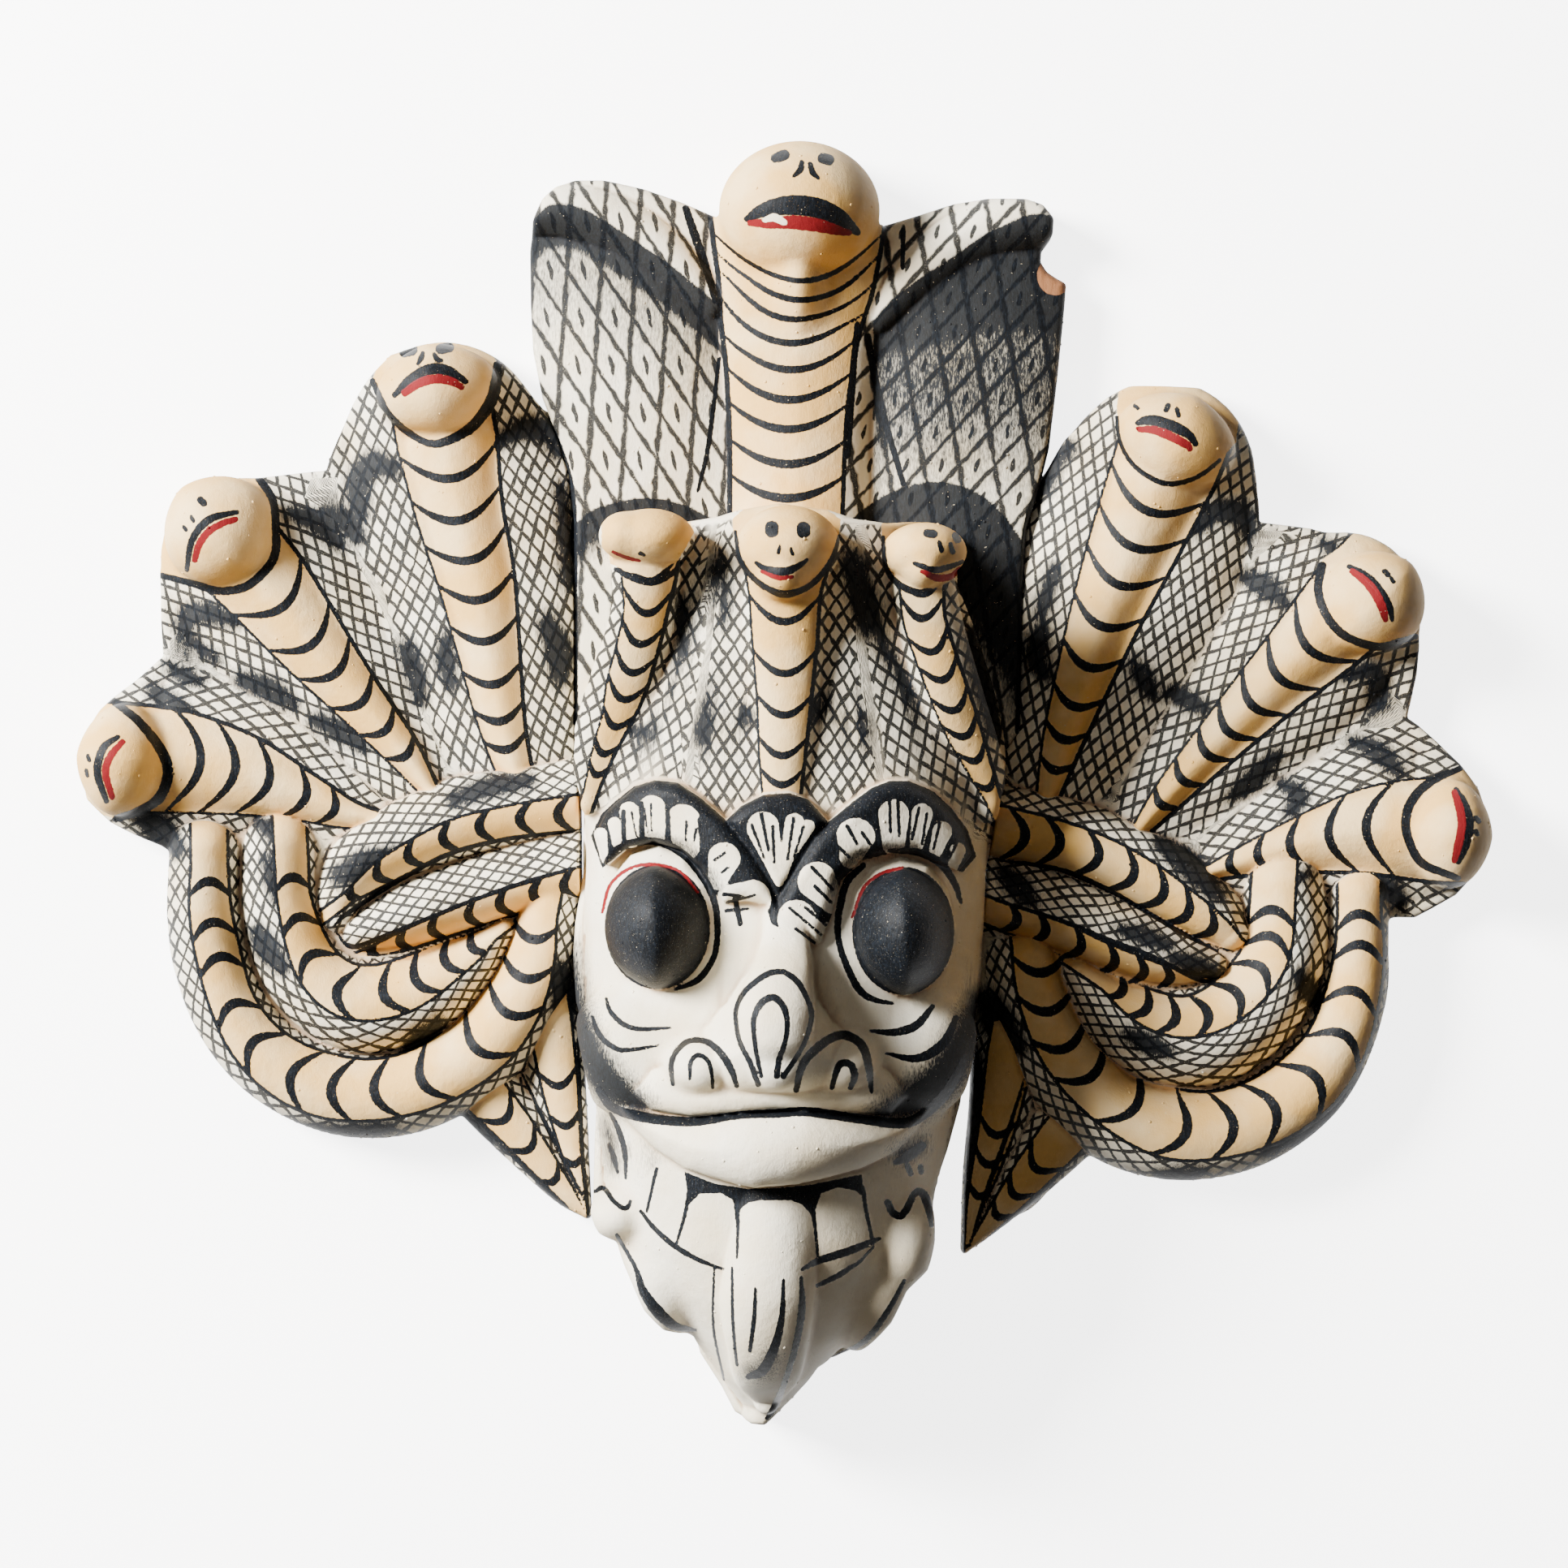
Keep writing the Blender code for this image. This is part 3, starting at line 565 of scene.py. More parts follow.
def face_field():
    """The demon face with its features and the small cobras, hollow behind."""
    wall = outline_wall(FACE_OUTLINE, FACE_RIM)
    parts = [(2.0, band(line)) for line in FACE_BANDS.values()]
    parts += [(3.5, mound(*place)) for place in FACE_MOUNDS]
    parts += [(1.0, pillow(outline, *form)) for outline, form in PILLOWS.values()]
    parts += [(0.8, pillow(ring, 966, 57.5, 12.0, 4.0, 4.0)) for ring in EYE_RINGS.values()]
    parts += [(0.3, mound(*place, EYE_HEIGHT, EYE_RISE, 2.0, EYE_POWERS)) for place in EYES.values()]
    heads = [mound(*place) for place in SMALL_HEADS]
    hollow_x, hollow_y = to_mm(HOLLOW[0], HOLLOW[1], 0)

    def field(gx, gy, gz):
        total = ((gz - shell_height(gx, gy)) * 0.7).astype(np.float32)
        for blend, part in parts:
            lay(total, part, blend, gx, gy, gz)
        total = soft_max(total, wall(gx, gy, gz), 2.0)
        for part in heads:
            lay(total, part, 1.5, gx, gy, gz)
        reach = np.sqrt(((gx - hollow_x) / HOLLOW[2]) ** 2 + ((gy - hollow_y) / HOLLOW[3]) ** 2
                        + (gz / HOLLOW[4]) ** 2)
        total = np.maximum(total, (1.0 - reach) * HOLLOW[2])
        return np.maximum(total, -gz)
    return field


def make_mesh(name, field, low, high, spacing):
    """Skin a field in metres; its flat back becomes one fill, and its hidden hollow is thinned out."""
    points, quads = skin_of(field, low, high, spacing)
    flat = points[:, 2] < spacing * 0.4
    points[flat, 2] = 0.0
    used, quads = np.unique(quads[~flat[quads].all(axis=1)], return_inverse=True)
    mesh = bpy.data.meshes.new(name)
    mesh.from_pydata((points[used] / 1000.0).tolist(), [], quads.reshape(-1, 4)[:, ::-1].tolist())
    shape = bmesh.new()
    shape.from_mesh(mesh)
    rim = [edge for edge in shape.edges if edge.is_boundary]
    bmesh.ops.triangle_fill(shape, use_beauty=False, edges=rim, normal=(0, 0, -1))
    if shape.calc_volume(signed=True) < 0:
        bmesh.ops.reverse_faces(shape, faces=shape.faces)
    shape.to_mesh(mesh)
    shape.free()
    thing = bpy.data.objects.new(name, mesh)
    bpy.context.scene.collection.objects.link(thing)
    return thing


def baked(thing):
    """The mesh of an object with its modifiers applied."""
    graph = bpy.context.evaluated_depsgraph_get()
    return bpy.data.meshes.new_from_object(thing.evaluated_get(graph), preserve_all_data_layers=True,
                                           depsgraph=graph)


def thin(thing, paint, limit):
    """Collapse edges down to a limit of triangles, where no edge of paint runs and on hidden sides."""
    whole = thing.data
    edges_near = np.min([np.abs(paint.layers[name]) for name in ("ink", "tan", "red")], axis=0) < PAINT_EDGE
    plain = np.nonzero(~edges_near | (paint.normals[:, 2] < -0.25))[0]
    thing.vertex_groups.new(name="plain").add(plain.tolist(), 1.0, "REPLACE")
    modifier = thing.modifiers.new("thinning", "DECIMATE")
    modifier.vertex_group = "plain"
    modifier.ratio = min(1.0, limit / sum(len(face.vertices) - 2 for face in whole.polygons))
    thing.data = baked(thing)
    thing.modifiers.clear()
    thing.vertex_groups.clear()
    thing.data.name = thing.name
    bpy.data.meshes.remove(whole)


# Paint. Readings in pixels of the front view: a stroke is a line of (x, y) or (x, y, half width)
PAINT_EDGE = 0.7        # millimetres either side of a brush edge in which the mesh stays dense
BRUSH_PRESS = 0.6       # how much wider than its line each brush stroke spreads, in pixels
LIP_PRESS = 1.2         # and the red of a snake's lips, besides
BAND_PRESS = 1.0        # and each crescent on a belly
LAYERS = ("ink", "tan", "red", "smudge_and_shade", "bare", "lattice", "scale_u", "scale_v", "valley")


class Paint:
    """Layers of paint on a piece, one value for each point: millimetres inside a painted shape."""

    def __init__(self, mesh):
        count = len(mesh.vertices)
        places = np.empty(count * 3, np.float32)
        mesh.vertices.foreach_get("co", places)
        self.points = places.reshape(-1, 3).astype(float) * 1000.0
        turned = np.empty(count * 3, np.float32)
        mesh.vertices.foreach_get("normal", turned)
        self.normals = turned.reshape(-1, 3).astype(float)
        self.px, self.py = to_view(*self.points.T)
        self.layers = {name: np.zeros(count) for name in LAYERS}
        for name in ("ink", "tan", "red"):
            self.layers[name] -= 5.0
        self.layers["bare"] = (np.clip(-4.0 * self.normals[:, 2] - 1.5, 0.0, 1.0)
                               * np.clip(0.5 * self.behind() - 1.5, 0.0, 1.0))
        self.layers["valley"] = self.hollows(mesh)

    def behind(self, cell=2.0):
        """How far each point lies behind the front of the piece, in millimetres."""
        column, row = ((self.points[:, :2].T - self.points[:, :2].min(0)[:, None]) // cell).astype(int)
        front = np.full((column.max() + 1, row.max() + 1), -1e3)
        np.maximum.at(front, (column, row), self.points[:, 2])
        return front[column, row] - self.points[:, 2]

    def hollows(self, mesh):
        """How deep each point lies between its neighbours, from -1 on a ridge to 1 in a valley."""
        pairs = np.empty(len(mesh.edges) * 2, np.int32)
        mesh.edges.foreach_get("vertices", pairs)
        a, b = pairs.reshape(-1, 2).T
        count = len(self.points)
        degree = np.maximum(np.bincount(a, minlength=count) + np.bincount(b, minlength=count), 1)
        smooth = self.points.copy()
        for _ in range(14):
            total = np.empty_like(smooth)
            for axis in range(3):
                column = smooth[:, axis]
                total[:, axis] = (np.bincount(a, column[b], count) + np.bincount(b, column[a], count)) / degree
            smooth = total
        return np.clip(np.sum((smooth - self.points) * self.normals, axis=1) / 0.8, -1.0, 1.0)

    def near(self, line, margin):
        """The points round a line, and the line's distance and width at them, in pixels."""
        low, high = line[:, :2].min(0) - margin, line[:, :2].max(0) + margin
        inside = (self.px > low[0]) & (self.px < high[0]) & (self.py > low[1]) & (self.py < high[1])
        inside = np.nonzero(inside)[0]
        _, _, gap, (half,) = along(line, self.px[inside], self.py[inside])
        return inside, gap, half

    def stroke(self, layer, stations, half=2.5, taper=0.35):
        """Draw a brush stroke; a plain one thins to a share of its width at its ends."""
        line = np.array([station if len(station) == 3 else (*station, half) for station in stations], float)
        if taper < 1.0 and len(stations[0]) == 2 and len(stations) > 2:
            line[[0, -1], 2] *= taper
        inside, gap, width = self.near(smooth_line(line, 6), line[:, 2].max() + 12)
        values = self.layers[layer]
        values[inside] = np.maximum(values[inside], (width + BRUSH_PRESS - gap) * PIXEL)

    def fill(self, layer, outline, cover=False):
        """Fill a closed outline, and cover the strokes and scales that it already holds."""
        outside = polygon_depth(outline, self.px, self.py) * PIXEL
        self.layers[layer] = np.maximum(self.layers[layer], -outside)
        if cover:
            self.layers["ink"] = np.where(outside < 0.6, np.minimum(self.layers["ink"], outside), self.layers["ink"])
            for name in ("smudge_and_shade", "lattice"):
                self.layers[name] = self.layers[name] * np.clip(outside / 0.6 + 0.5, 0.0, 1.0)

    def smudge(self, stations, strength=1.0, soft=9.0):
        """Rub a half dry brush along stations (x, y, half width)."""
        line = smooth_line(np.array(stations, float), 6)
        inside, gap, width = self.near(line, line[:, 2].max() + soft)
        value = strength * np.clip(0.5 + (width - gap) / (2.0 * soft), 0.0, 1.0)
        smudge_and_shade = self.layers["smudge_and_shade"]
        smudge_and_shade[inside] = np.maximum(smudge_and_shade[inside], value)

    def shade(self, edge, core, fade, strength=1.0):
        """Darken below an edge line running left to right: solid over the core, then fading."""
        line = smooth_line(edge, 6)
        level = np.interp(self.px, line[:, 0], line[:, 1], left=1e5, right=1e5)
        core = np.interp(self.px, line[:, 0], np.linspace(core[0], core[1], len(line)))
        below = self.py - level
        value = np.where(below < 0, 0.0, np.exp(-(np.maximum(below - core, 0.0) / fade) ** 2)) * strength
        value *= np.clip(below / 3.0, 0.0, 1.0)
        self.layers["smudge_and_shade"] = np.maximum(self.layers["smudge_and_shade"], value)

    def leave(self, stations, layers=("ink", "smudge_and_shade", "lattice")):
        """Keep a shape free of dark paint, so that the ivory ground stays."""
        line = smooth_line(np.array(stations, float), 6)
        inside, gap, width = self.near(line, line[:, 2].max() + 16)
        outside = (gap - width) * PIXEL
        for name in layers:
            values = self.layers[name]
            if name in ("ink", "tan", "red"):
                values[inside] = np.minimum(values[inside], outside)
            else:
                values[inside] *= np.clip(outside / 0.6 + 0.5, 0.0, 1.0)

    def snake(self, stations, bands, own, toward=1.0, sag=(0.6, 0.6), thick=4.2, edges=(2.6, 2.6),
              cell=(17.0, 30.0)):
        """Paint a snake: tan belly with dark edges, its crescents, and the lattice of scales beside it.

        own is how far each point lies inside the snake's own ground, in millimetres. The crescents bulge
        towards the line's start where toward is 1, or towards its end where it is -1.
        """
        line = smooth_line(stations)
        before = line[0] + (line[0] - line[1]) / np.hypot(*(line[0] - line[1])[:2]) * 160
        after = line[-1] + (line[-1] - line[-2]) / np.hypot(*(line[-1] - line[-2])[:2]) * 160
        before[2], after[2] = line[0, 2], line[-1, 2]
        line = np.vstack([before, line, after])
        length, side, gap, (half,) = along(line, self.px, self.py)
        share = np.clip(side / half, -1.3, 1.3)
        strip = (half - gap) * PIXEL
        layers = self.layers
        layers["tan"] = np.maximum(layers["tan"], np.minimum(strip, own))
        width = np.where(side < 0, edges[0], edges[1])
        layers["ink"] = np.maximum(layers["ink"], np.minimum(width * PIXEL - np.abs(strip), own))
        for x, y, *own_form in bands:
            place = float(along(line, np.array([x]), np.array([y]))[0][0])
            left, right, middle = own_form if own_form else (*sag, thick)
            bend = np.where(side < 0, left, right)
            curve = place + toward * bend * half * share ** 2
            gone = np.abs(length - curve) / np.sqrt(1.0 + (2.0 * bend * share) ** 2)
            brush = (middle + BAND_PRESS) * (1.0 - 0.72 * np.minimum(share ** 2, 1.0))
            layers["ink"] = np.maximum(layers["ink"], np.minimum((brush - gone) * PIXEL,
                                                                 np.minimum(strip, own) + 0.2))
        mine = own > 0.0
        layers["scale_u"] = np.where(mine, side / cell[0] + length / cell[1], layers["scale_u"])
        layers["scale_v"] = np.where(mine, side / cell[0] - length / cell[1], layers["scale_v"])
        layers["lattice"] = np.where(mine, np.clip((own - 0.05) / 0.4, 0.0, 1.0), layers["lattice"])

    def store(self, mesh):
        """Write the layers to the mesh as attributes of its points."""
        for name, values in self.layers.items():
            mesh.attributes.new(name, "FLOAT", "POINT").data.foreach_set("value", values.astype(np.float32))


# Bands of the snakes, each at the middle of its bulge: (x, y), or with (left bend, right bend, half width)
WING_BANDS = {
    "left": {
        "necks": [
            [(548, 591), (567, 641), (585, 689), (598, 738), (607, 789), (617, 842), (625, 887), (634, 921)],
            [(352, 745), (391, 789), (418, 826), (445, 866), (470, 904), (496, 934)],
            [(247, 940), (291, 944), (336, 950), (382, 968), (418, 983)],
        ],
        "loops": [
            [(262, 1086), (264, 1136), (274, 1178), (289, 1236), (319, 1278), (361, 1320), (407, 1347),
             (461, 1347), (522, 1339), (587, 1293), (622, 1247), (644, 1205), (664, 1159)],
            [(356, 1081), (364, 1131), (384, 1176), (419, 1213), (472, 1224), (511, 1205), (549, 1186),
             (579, 1163)],
            [(687, 1002), (641, 1014), (591, 1022), (545, 1033), (503, 1056), (465, 1079), (434, 1106)],
            [(694, 1090), (656, 1098), (614, 1110), (576, 1125), (530, 1140), (491, 1155), (457, 1171)],
        ],
        "tails": [[(625, 1377), (652, 1416), (679, 1458)], [(683, 1339), (690, 1389), (706, 1435)]],
    },
    "right": {
        "necks": [
            [(1432, 637), (1415, 682), (1392, 726), (1372, 777), (1352, 826), (1334, 874), (1316, 913),
             (1303, 950)],
            [(1621, 808), (1587, 846), (1551, 877), (1515, 903), (1490, 932), (1458, 962), (1430, 991)],
            [(1683, 1019), (1636, 1025), (1588, 1038), (1546, 1043), (1511, 1056)],
        ],
        "loops": [
            [(1676, 1126), (1679, 1164), (1669, 1221), (1644, 1270), (1615, 1321), (1569, 1361), (1519, 1382),
             (1463, 1389), (1399, 1364), (1340, 1332), (1308, 1296), (1283, 1250), (1276, 1200)],
            [(1572, 1121), (1569, 1154), (1551, 1190), (1522, 1221), (1486, 1243), (1449, 1254), (1413, 1243),
             (1379, 1227)],
            [(1262, 1037), (1304, 1047), (1352, 1060), (1395, 1082), (1435, 1100), (1467, 1120), (1498, 1138)],
            [(1254, 1132), (1290, 1143), (1335, 1161), (1376, 1179), (1411, 1193), (1442, 1204)],
        ],
        "tails": [[(1285, 1447), (1258, 1479), (1233, 1502)], [(1249, 1404), (1231, 1439), (1211, 1475)]],
    },
}
WING_BELLIES = {
    "left": [
        [(258, 1067, 23), (259, 1120, 26), (268, 1172, 28), (284, 1230, 28), (310, 1278, 32), (350, 1315, 37),
         (400, 1337, 40), (455, 1343, 38), (510, 1333, 38), (558, 1310, 40), (600, 1275, 42), (632, 1232, 38),
         (650, 1185, 33), (662, 1127, 25)],
        [(359, 1058, 21), (362, 1105, 21), (375, 1155, 25), (395, 1195, 30), (428, 1220, 34), (470, 1222, 34),
         (510, 1208, 32), (548, 1186, 26), (580, 1168, 18), (605, 1150, 10)],
        [(706, 1002, 22), (630, 1012, 20), (562, 1029, 20), (505, 1056, 18), (466, 1079, 15), (432, 1104, 8)],
        [(700, 1092, 20), (650, 1104, 18), (600, 1121, 17), (545, 1141, 15), (495, 1160, 12), (455, 1174, 6)],
    ],
    "right": [
        [(1675, 1127, 27), (1675, 1175, 31), (1667, 1224, 34), (1648, 1284, 38), (1618, 1326, 42),
         (1580, 1357, 43), (1535, 1378, 42), (1490, 1387, 42), (1440, 1383, 44), (1388, 1355, 44),
         (1345, 1320, 42), (1314, 1282, 39), (1295, 1240, 37), (1286, 1200, 37), (1280, 1160, 34)],
        [(1568, 1108, 28), (1565, 1150, 29), (1555, 1185, 30), (1530, 1217, 30), (1498, 1242, 28),
         (1462, 1253, 26), (1425, 1246, 24), (1395, 1230, 20), (1365, 1210, 12)],
        [(1233, 1026, 33), (1304, 1041, 30), (1361, 1063, 30), (1415, 1094, 30), (1457, 1122, 27),
         (1500, 1148, 19), (1525, 1165, 10)],
        [(1230, 1127, 17), (1304, 1155, 20), (1350, 1177, 20), (1400, 1195, 18), (1445, 1205, 12),
         (1480, 1208, 5)],
    ],
}
# The line between lattice and belly of the two rolls is drawn again over the relief
WING_LINES = {
    "left": [
        [(706, 1025), (629, 1033), (553, 1052), (495, 1083), (457, 1106), (425, 1128), (411, 1141)],
        [(706, 1071), (648, 1087), (591, 1106), (534, 1129), (476, 1152), (434, 1167), (415, 1150)],
        [(712, 1270), (714, 1350), (718, 1430), (724, 1500)],
        [(644, 1324), (670, 1380), (700, 1440), (721, 1480)],
        [(579, 1370), (610, 1400), (650, 1440), (700, 1488)],
    ],
    "right": [
        [(1231, 1060), (1304, 1071), (1361, 1094), (1415, 1125), (1461, 1152), (1500, 1172)],
        [(1227, 1110), (1304, 1133), (1361, 1156), (1419, 1178), (1484, 1209), (1508, 1192)],
        [(1196, 1320), (1194, 1400), (1190, 1480), (1188, 1540)],
        [(1262, 1330), (1240, 1400), (1215, 1470), (1195, 1535)],
        [(1330, 1420), (1290, 1462), (1240, 1508), (1192, 1546)],
    ],
}
WING_SMUDGES = {
    "left": [
        [(483, 578, 12), (460, 572, 16), (443, 592, 16), (442, 616, 14), (446, 634, 10)],
        [(621, 540, 10), (650, 528, 15), (676, 535, 15), (686, 556, 10)],
        [(402, 629, 10), (425, 640, 16), (440, 660, 12)], [(359, 631, 8), (395, 645, 16), (419, 669, 10)],
        [(290, 765, 9), (262, 757, 13), (237, 757, 14), (228, 775, 12), (240, 796, 10), (268, 812, 7)],
        [(208, 822, 8), (228, 832, 12), (246, 839, 8)], [(190, 852, 10), (212, 868, 14), (232, 880, 8)],
        [(176, 1008, 12), (198, 1024, 20), (218, 1046, 12)], [(318, 1012, 8), (336, 1024, 13), (349, 1034, 7)],
        [(420, 1078, 14), (452, 1066, 20), (485, 1052, 10)], [(330, 1060, 9), (336, 1085, 11), (340, 1105, 7)],
        [(318, 1150, 12), (330, 1170, 16), (348, 1192, 10)], [(505, 1290, 10), (522, 1278, 15), (540, 1262, 9)],
        [(355, 1390, 9), (410, 1396, 12), (480, 1390, 9)], [(690, 1196, 14), (696, 1230, 17), (692, 1262, 14)],
        [(570, 1376, 8), (596, 1394, 11), (626, 1414, 8)], [(502, 800, 12), (512, 830, 14), (518, 862, 9)],
        [(552, 788, 10), (548, 815, 13), (556, 845, 8)], [(676, 770, 14), (688, 800, 18), (690, 835, 12)],
        [(390, 888, 10), (420, 900, 14), (446, 920, 9)], [(300, 838, 12), (335, 850, 15), (362, 868, 8)],
        [(560, 985, 10), (610, 968, 14), (650, 962, 10)], [(690, 600, 8), (697, 660, 10), (699, 720, 8)],
    ],
    "right": [
        [(1318, 552, 10), (1296, 568, 17), (1284, 600, 14)], [(1284, 776, 10), (1276, 806, 14), (1288, 834, 9)],
        [(1474, 652, 8), (1498, 632, 14), (1530, 634, 16), (1540, 660, 10)],
        [(1396, 818, 8), (1410, 836, 14), (1420, 856, 9)], [(1534, 712, 9), (1558, 722, 16), (1582, 742, 9)],
        [(1630, 668, 6), (1642, 680, 11), (1648, 696, 7)], [(1440, 852, 9), (1462, 862, 13), (1486, 874, 8)],
        [(1660, 834, 8), (1690, 828, 13), (1700, 858, 15), (1692, 884, 9)],
        [(1520, 980, 9), (1546, 958, 14), (1574, 930, 8)], [(1668, 914, 8), (1698, 926, 14), (1722, 950, 10)],
        [(1580, 966, 8), (1600, 980, 14), (1590, 1000, 9)], [(1696, 1082, 9), (1712, 1096, 15), (1726, 1112, 9)],
        [(1560, 1078, 6), (1585, 1082, 9), (1612, 1078, 6)], [(1430, 1040, 10), (1466, 1066, 18), (1500, 1102, 11)],
        [(1216, 1232, 14), (1232, 1262, 20), (1256, 1290, 11)], [(1602, 1204, 10), (1614, 1222, 14), (1626, 1238, 8)],
        [(1392, 1276, 9), (1416, 1286, 14), (1440, 1296, 8)], [(1428, 1450, 8), (1456, 1450, 12), (1482, 1444, 7)],
        [(1238, 1076, 10), (1254, 1092, 15), (1270, 1110, 9)], [(1382, 1146, 8), (1412, 1154, 13), (1440, 1166, 8)],
        [(1446, 1180, 9), (1474, 1190, 14), (1502, 1200, 8)], [(1560, 1420, 8), (1620, 1390, 9), (1668, 1330, 8)],
        [(1200, 1300, 10), (1206, 1360, 12), (1200, 1430, 9)], [(1300, 700, 8), (1290, 730, 10), (1282, 760, 8)],
    ],
}
# Heads: the tan ground of each, and the strokes on it
WING_HEADS = {
    "left": {
        "tan": [
            [(459, 469), (470, 494), (480, 511), (499, 530), (525, 545), (546, 545), (579, 528), (603, 498),
             (611, 473), (613, 450), (600, 420), (540, 405), (470, 430)],
            [(195, 708), (237, 719), (269, 728), (300, 724), (321, 709), (338, 686), (340, 654), (336, 616),
             (318, 580), (250, 575), (180, 640)],
            [(143, 1009), (172, 999), (197, 982), (207, 952), (199, 925), (172, 890), (142, 866), (90, 880),
             (80, 990)],
        ],
        "ink": [
            [(459, 469, 3), (470, 494, 3.5), (480, 511, 3.5), (499, 530, 4), (525, 545, 4), (546, 545, 5),
             (579, 528, 6), (603, 498, 7), (611, 473, 6.5), (613, 450, 5)],
            [(319, 590, 4), (336, 616, 4.5), (340, 654, 4.5), (338, 686, 5), (321, 709, 5), (300, 724, 5),
             (269, 728, 4.5), (237, 719, 4), (195, 708, 3)],
            [(142, 866, 4), (172, 890, 5), (199, 925, 6), (207, 952, 6), (197, 982, 6), (172, 999, 5),
             (143, 1009, 4)],
            [(486, 487, 3), (505, 468, 5.5), (530, 455, 6.5), (552, 457, 6), (574, 470, 3)],
            [(230, 702, 2.5), (237, 665, 4), (258, 640, 4.5), (292, 631, 2.5)],
            [(131, 987, 3), (120, 952, 4.5), (127, 922, 4.5), (145, 908, 2.5)],
            [(521, 435, 2), (519, 441, 3), (515, 448, 2)], [(535, 436, 2), (538, 442, 3), (544, 444, 2)],
            [(236, 637, 2), (238, 642, 2)], [(226, 649, 2), (229, 653, 2)],
            [(108, 931, 2), (110, 937, 2)], [(106, 949, 2), (108, 956, 2)],
            [(498, 434, 6), (507, 431, 7)], [(543, 430, 6), (553, 428, 6)], [(247, 616, 4), (251, 620, 4)],
        ],
        "red": [
            [(499, 484, 3), (517, 472, 4), (537, 467, 4), (556, 470, 3.5), (569, 477, 2)],
            [(240, 690, 2), (245, 672, 3), (256, 656, 3), (274, 645, 2.5), (290, 640, 2)],
            [(138, 982, 2), (130, 952, 3), (136, 932, 3), (151, 914, 2)],
        ],
    },
    "right": {
        "tan": [
            [(1376, 500), (1379, 541), (1391, 566), (1410, 584), (1437, 596), (1465, 592), (1486, 581),
             (1503, 567), (1523, 545), (1528, 500), (1460, 470), (1380, 475)],
            [(1629, 690), (1624, 725), (1632, 754), (1649, 777), (1671, 790), (1698, 797), (1720, 792),
             (1752, 780), (1780, 740), (1720, 670), (1660, 668)],
            [(1799, 947), (1763, 963), (1740, 986), (1732, 1012), (1737, 1038), (1753, 1064), (1796, 1082),
             (1840, 1060), (1845, 960)],
        ],
        "ink": [
            [(1376, 514, 1.8), (1379, 541, 2), (1391, 566, 2.2), (1410, 584, 2.6), (1437, 596, 3),
             (1465, 592, 2.4), (1486, 581, 2.2), (1503, 567, 1.8)],
            [(1629, 697, 5), (1624, 725, 5), (1632, 754, 5), (1649, 777, 5), (1671, 790, 4.6), (1698, 797, 4.6),
             (1720, 792, 3.6), (1744, 784, 3)],
            [(1799, 947, 3), (1763, 963, 5), (1740, 986, 5.5), (1732, 1012, 5.5), (1737, 1038, 5),
             (1753, 1064, 5), (1796, 1082, 3.5)],
            [(1402, 521, 3), (1412, 518, 5.5), (1427, 519, 6.5), (1449, 527, 6.5), (1465, 536, 5), (1473, 547, 3)],
            [(1662, 698, 2.5), (1683, 709, 4), (1700, 727, 4.5), (1712, 748, 4), (1715, 764, 2)],
            [(1794, 973, 3), (1805, 993, 5), (1810, 1016, 5.5), (1806, 1040, 5), (1797, 1062, 3)],
            [(1439, 500, 3), (1437, 505, 3)], [(1450, 504, 2.5), (1452, 512, 2.5)],
            [(1706, 704, 3), (1710, 708, 3)], [(1714, 712, 2), (1717, 717, 2)], [(1819, 1008, 3), (1822, 1012, 3)],
            [(1818, 1024, 2.5), (1820, 1028, 2.5)], [(1398, 500, 2), (1402, 503, 2)],
        ],
        "red": [
            [(1404, 529, 2), (1422, 530, 3.5), (1443, 538, 4), (1462, 548, 3.5), (1466, 553, 2)],
            [(1666, 704, 2), (1683, 717, 3.5), (1696, 734, 4), (1704, 752, 3.5), (1707, 763, 2)],
            [(1792, 976, 2), (1798, 995, 3.5), (1801, 1016, 3.5), (1797, 1040, 3.5), (1792, 1060, 2)],
        ],
    },
}


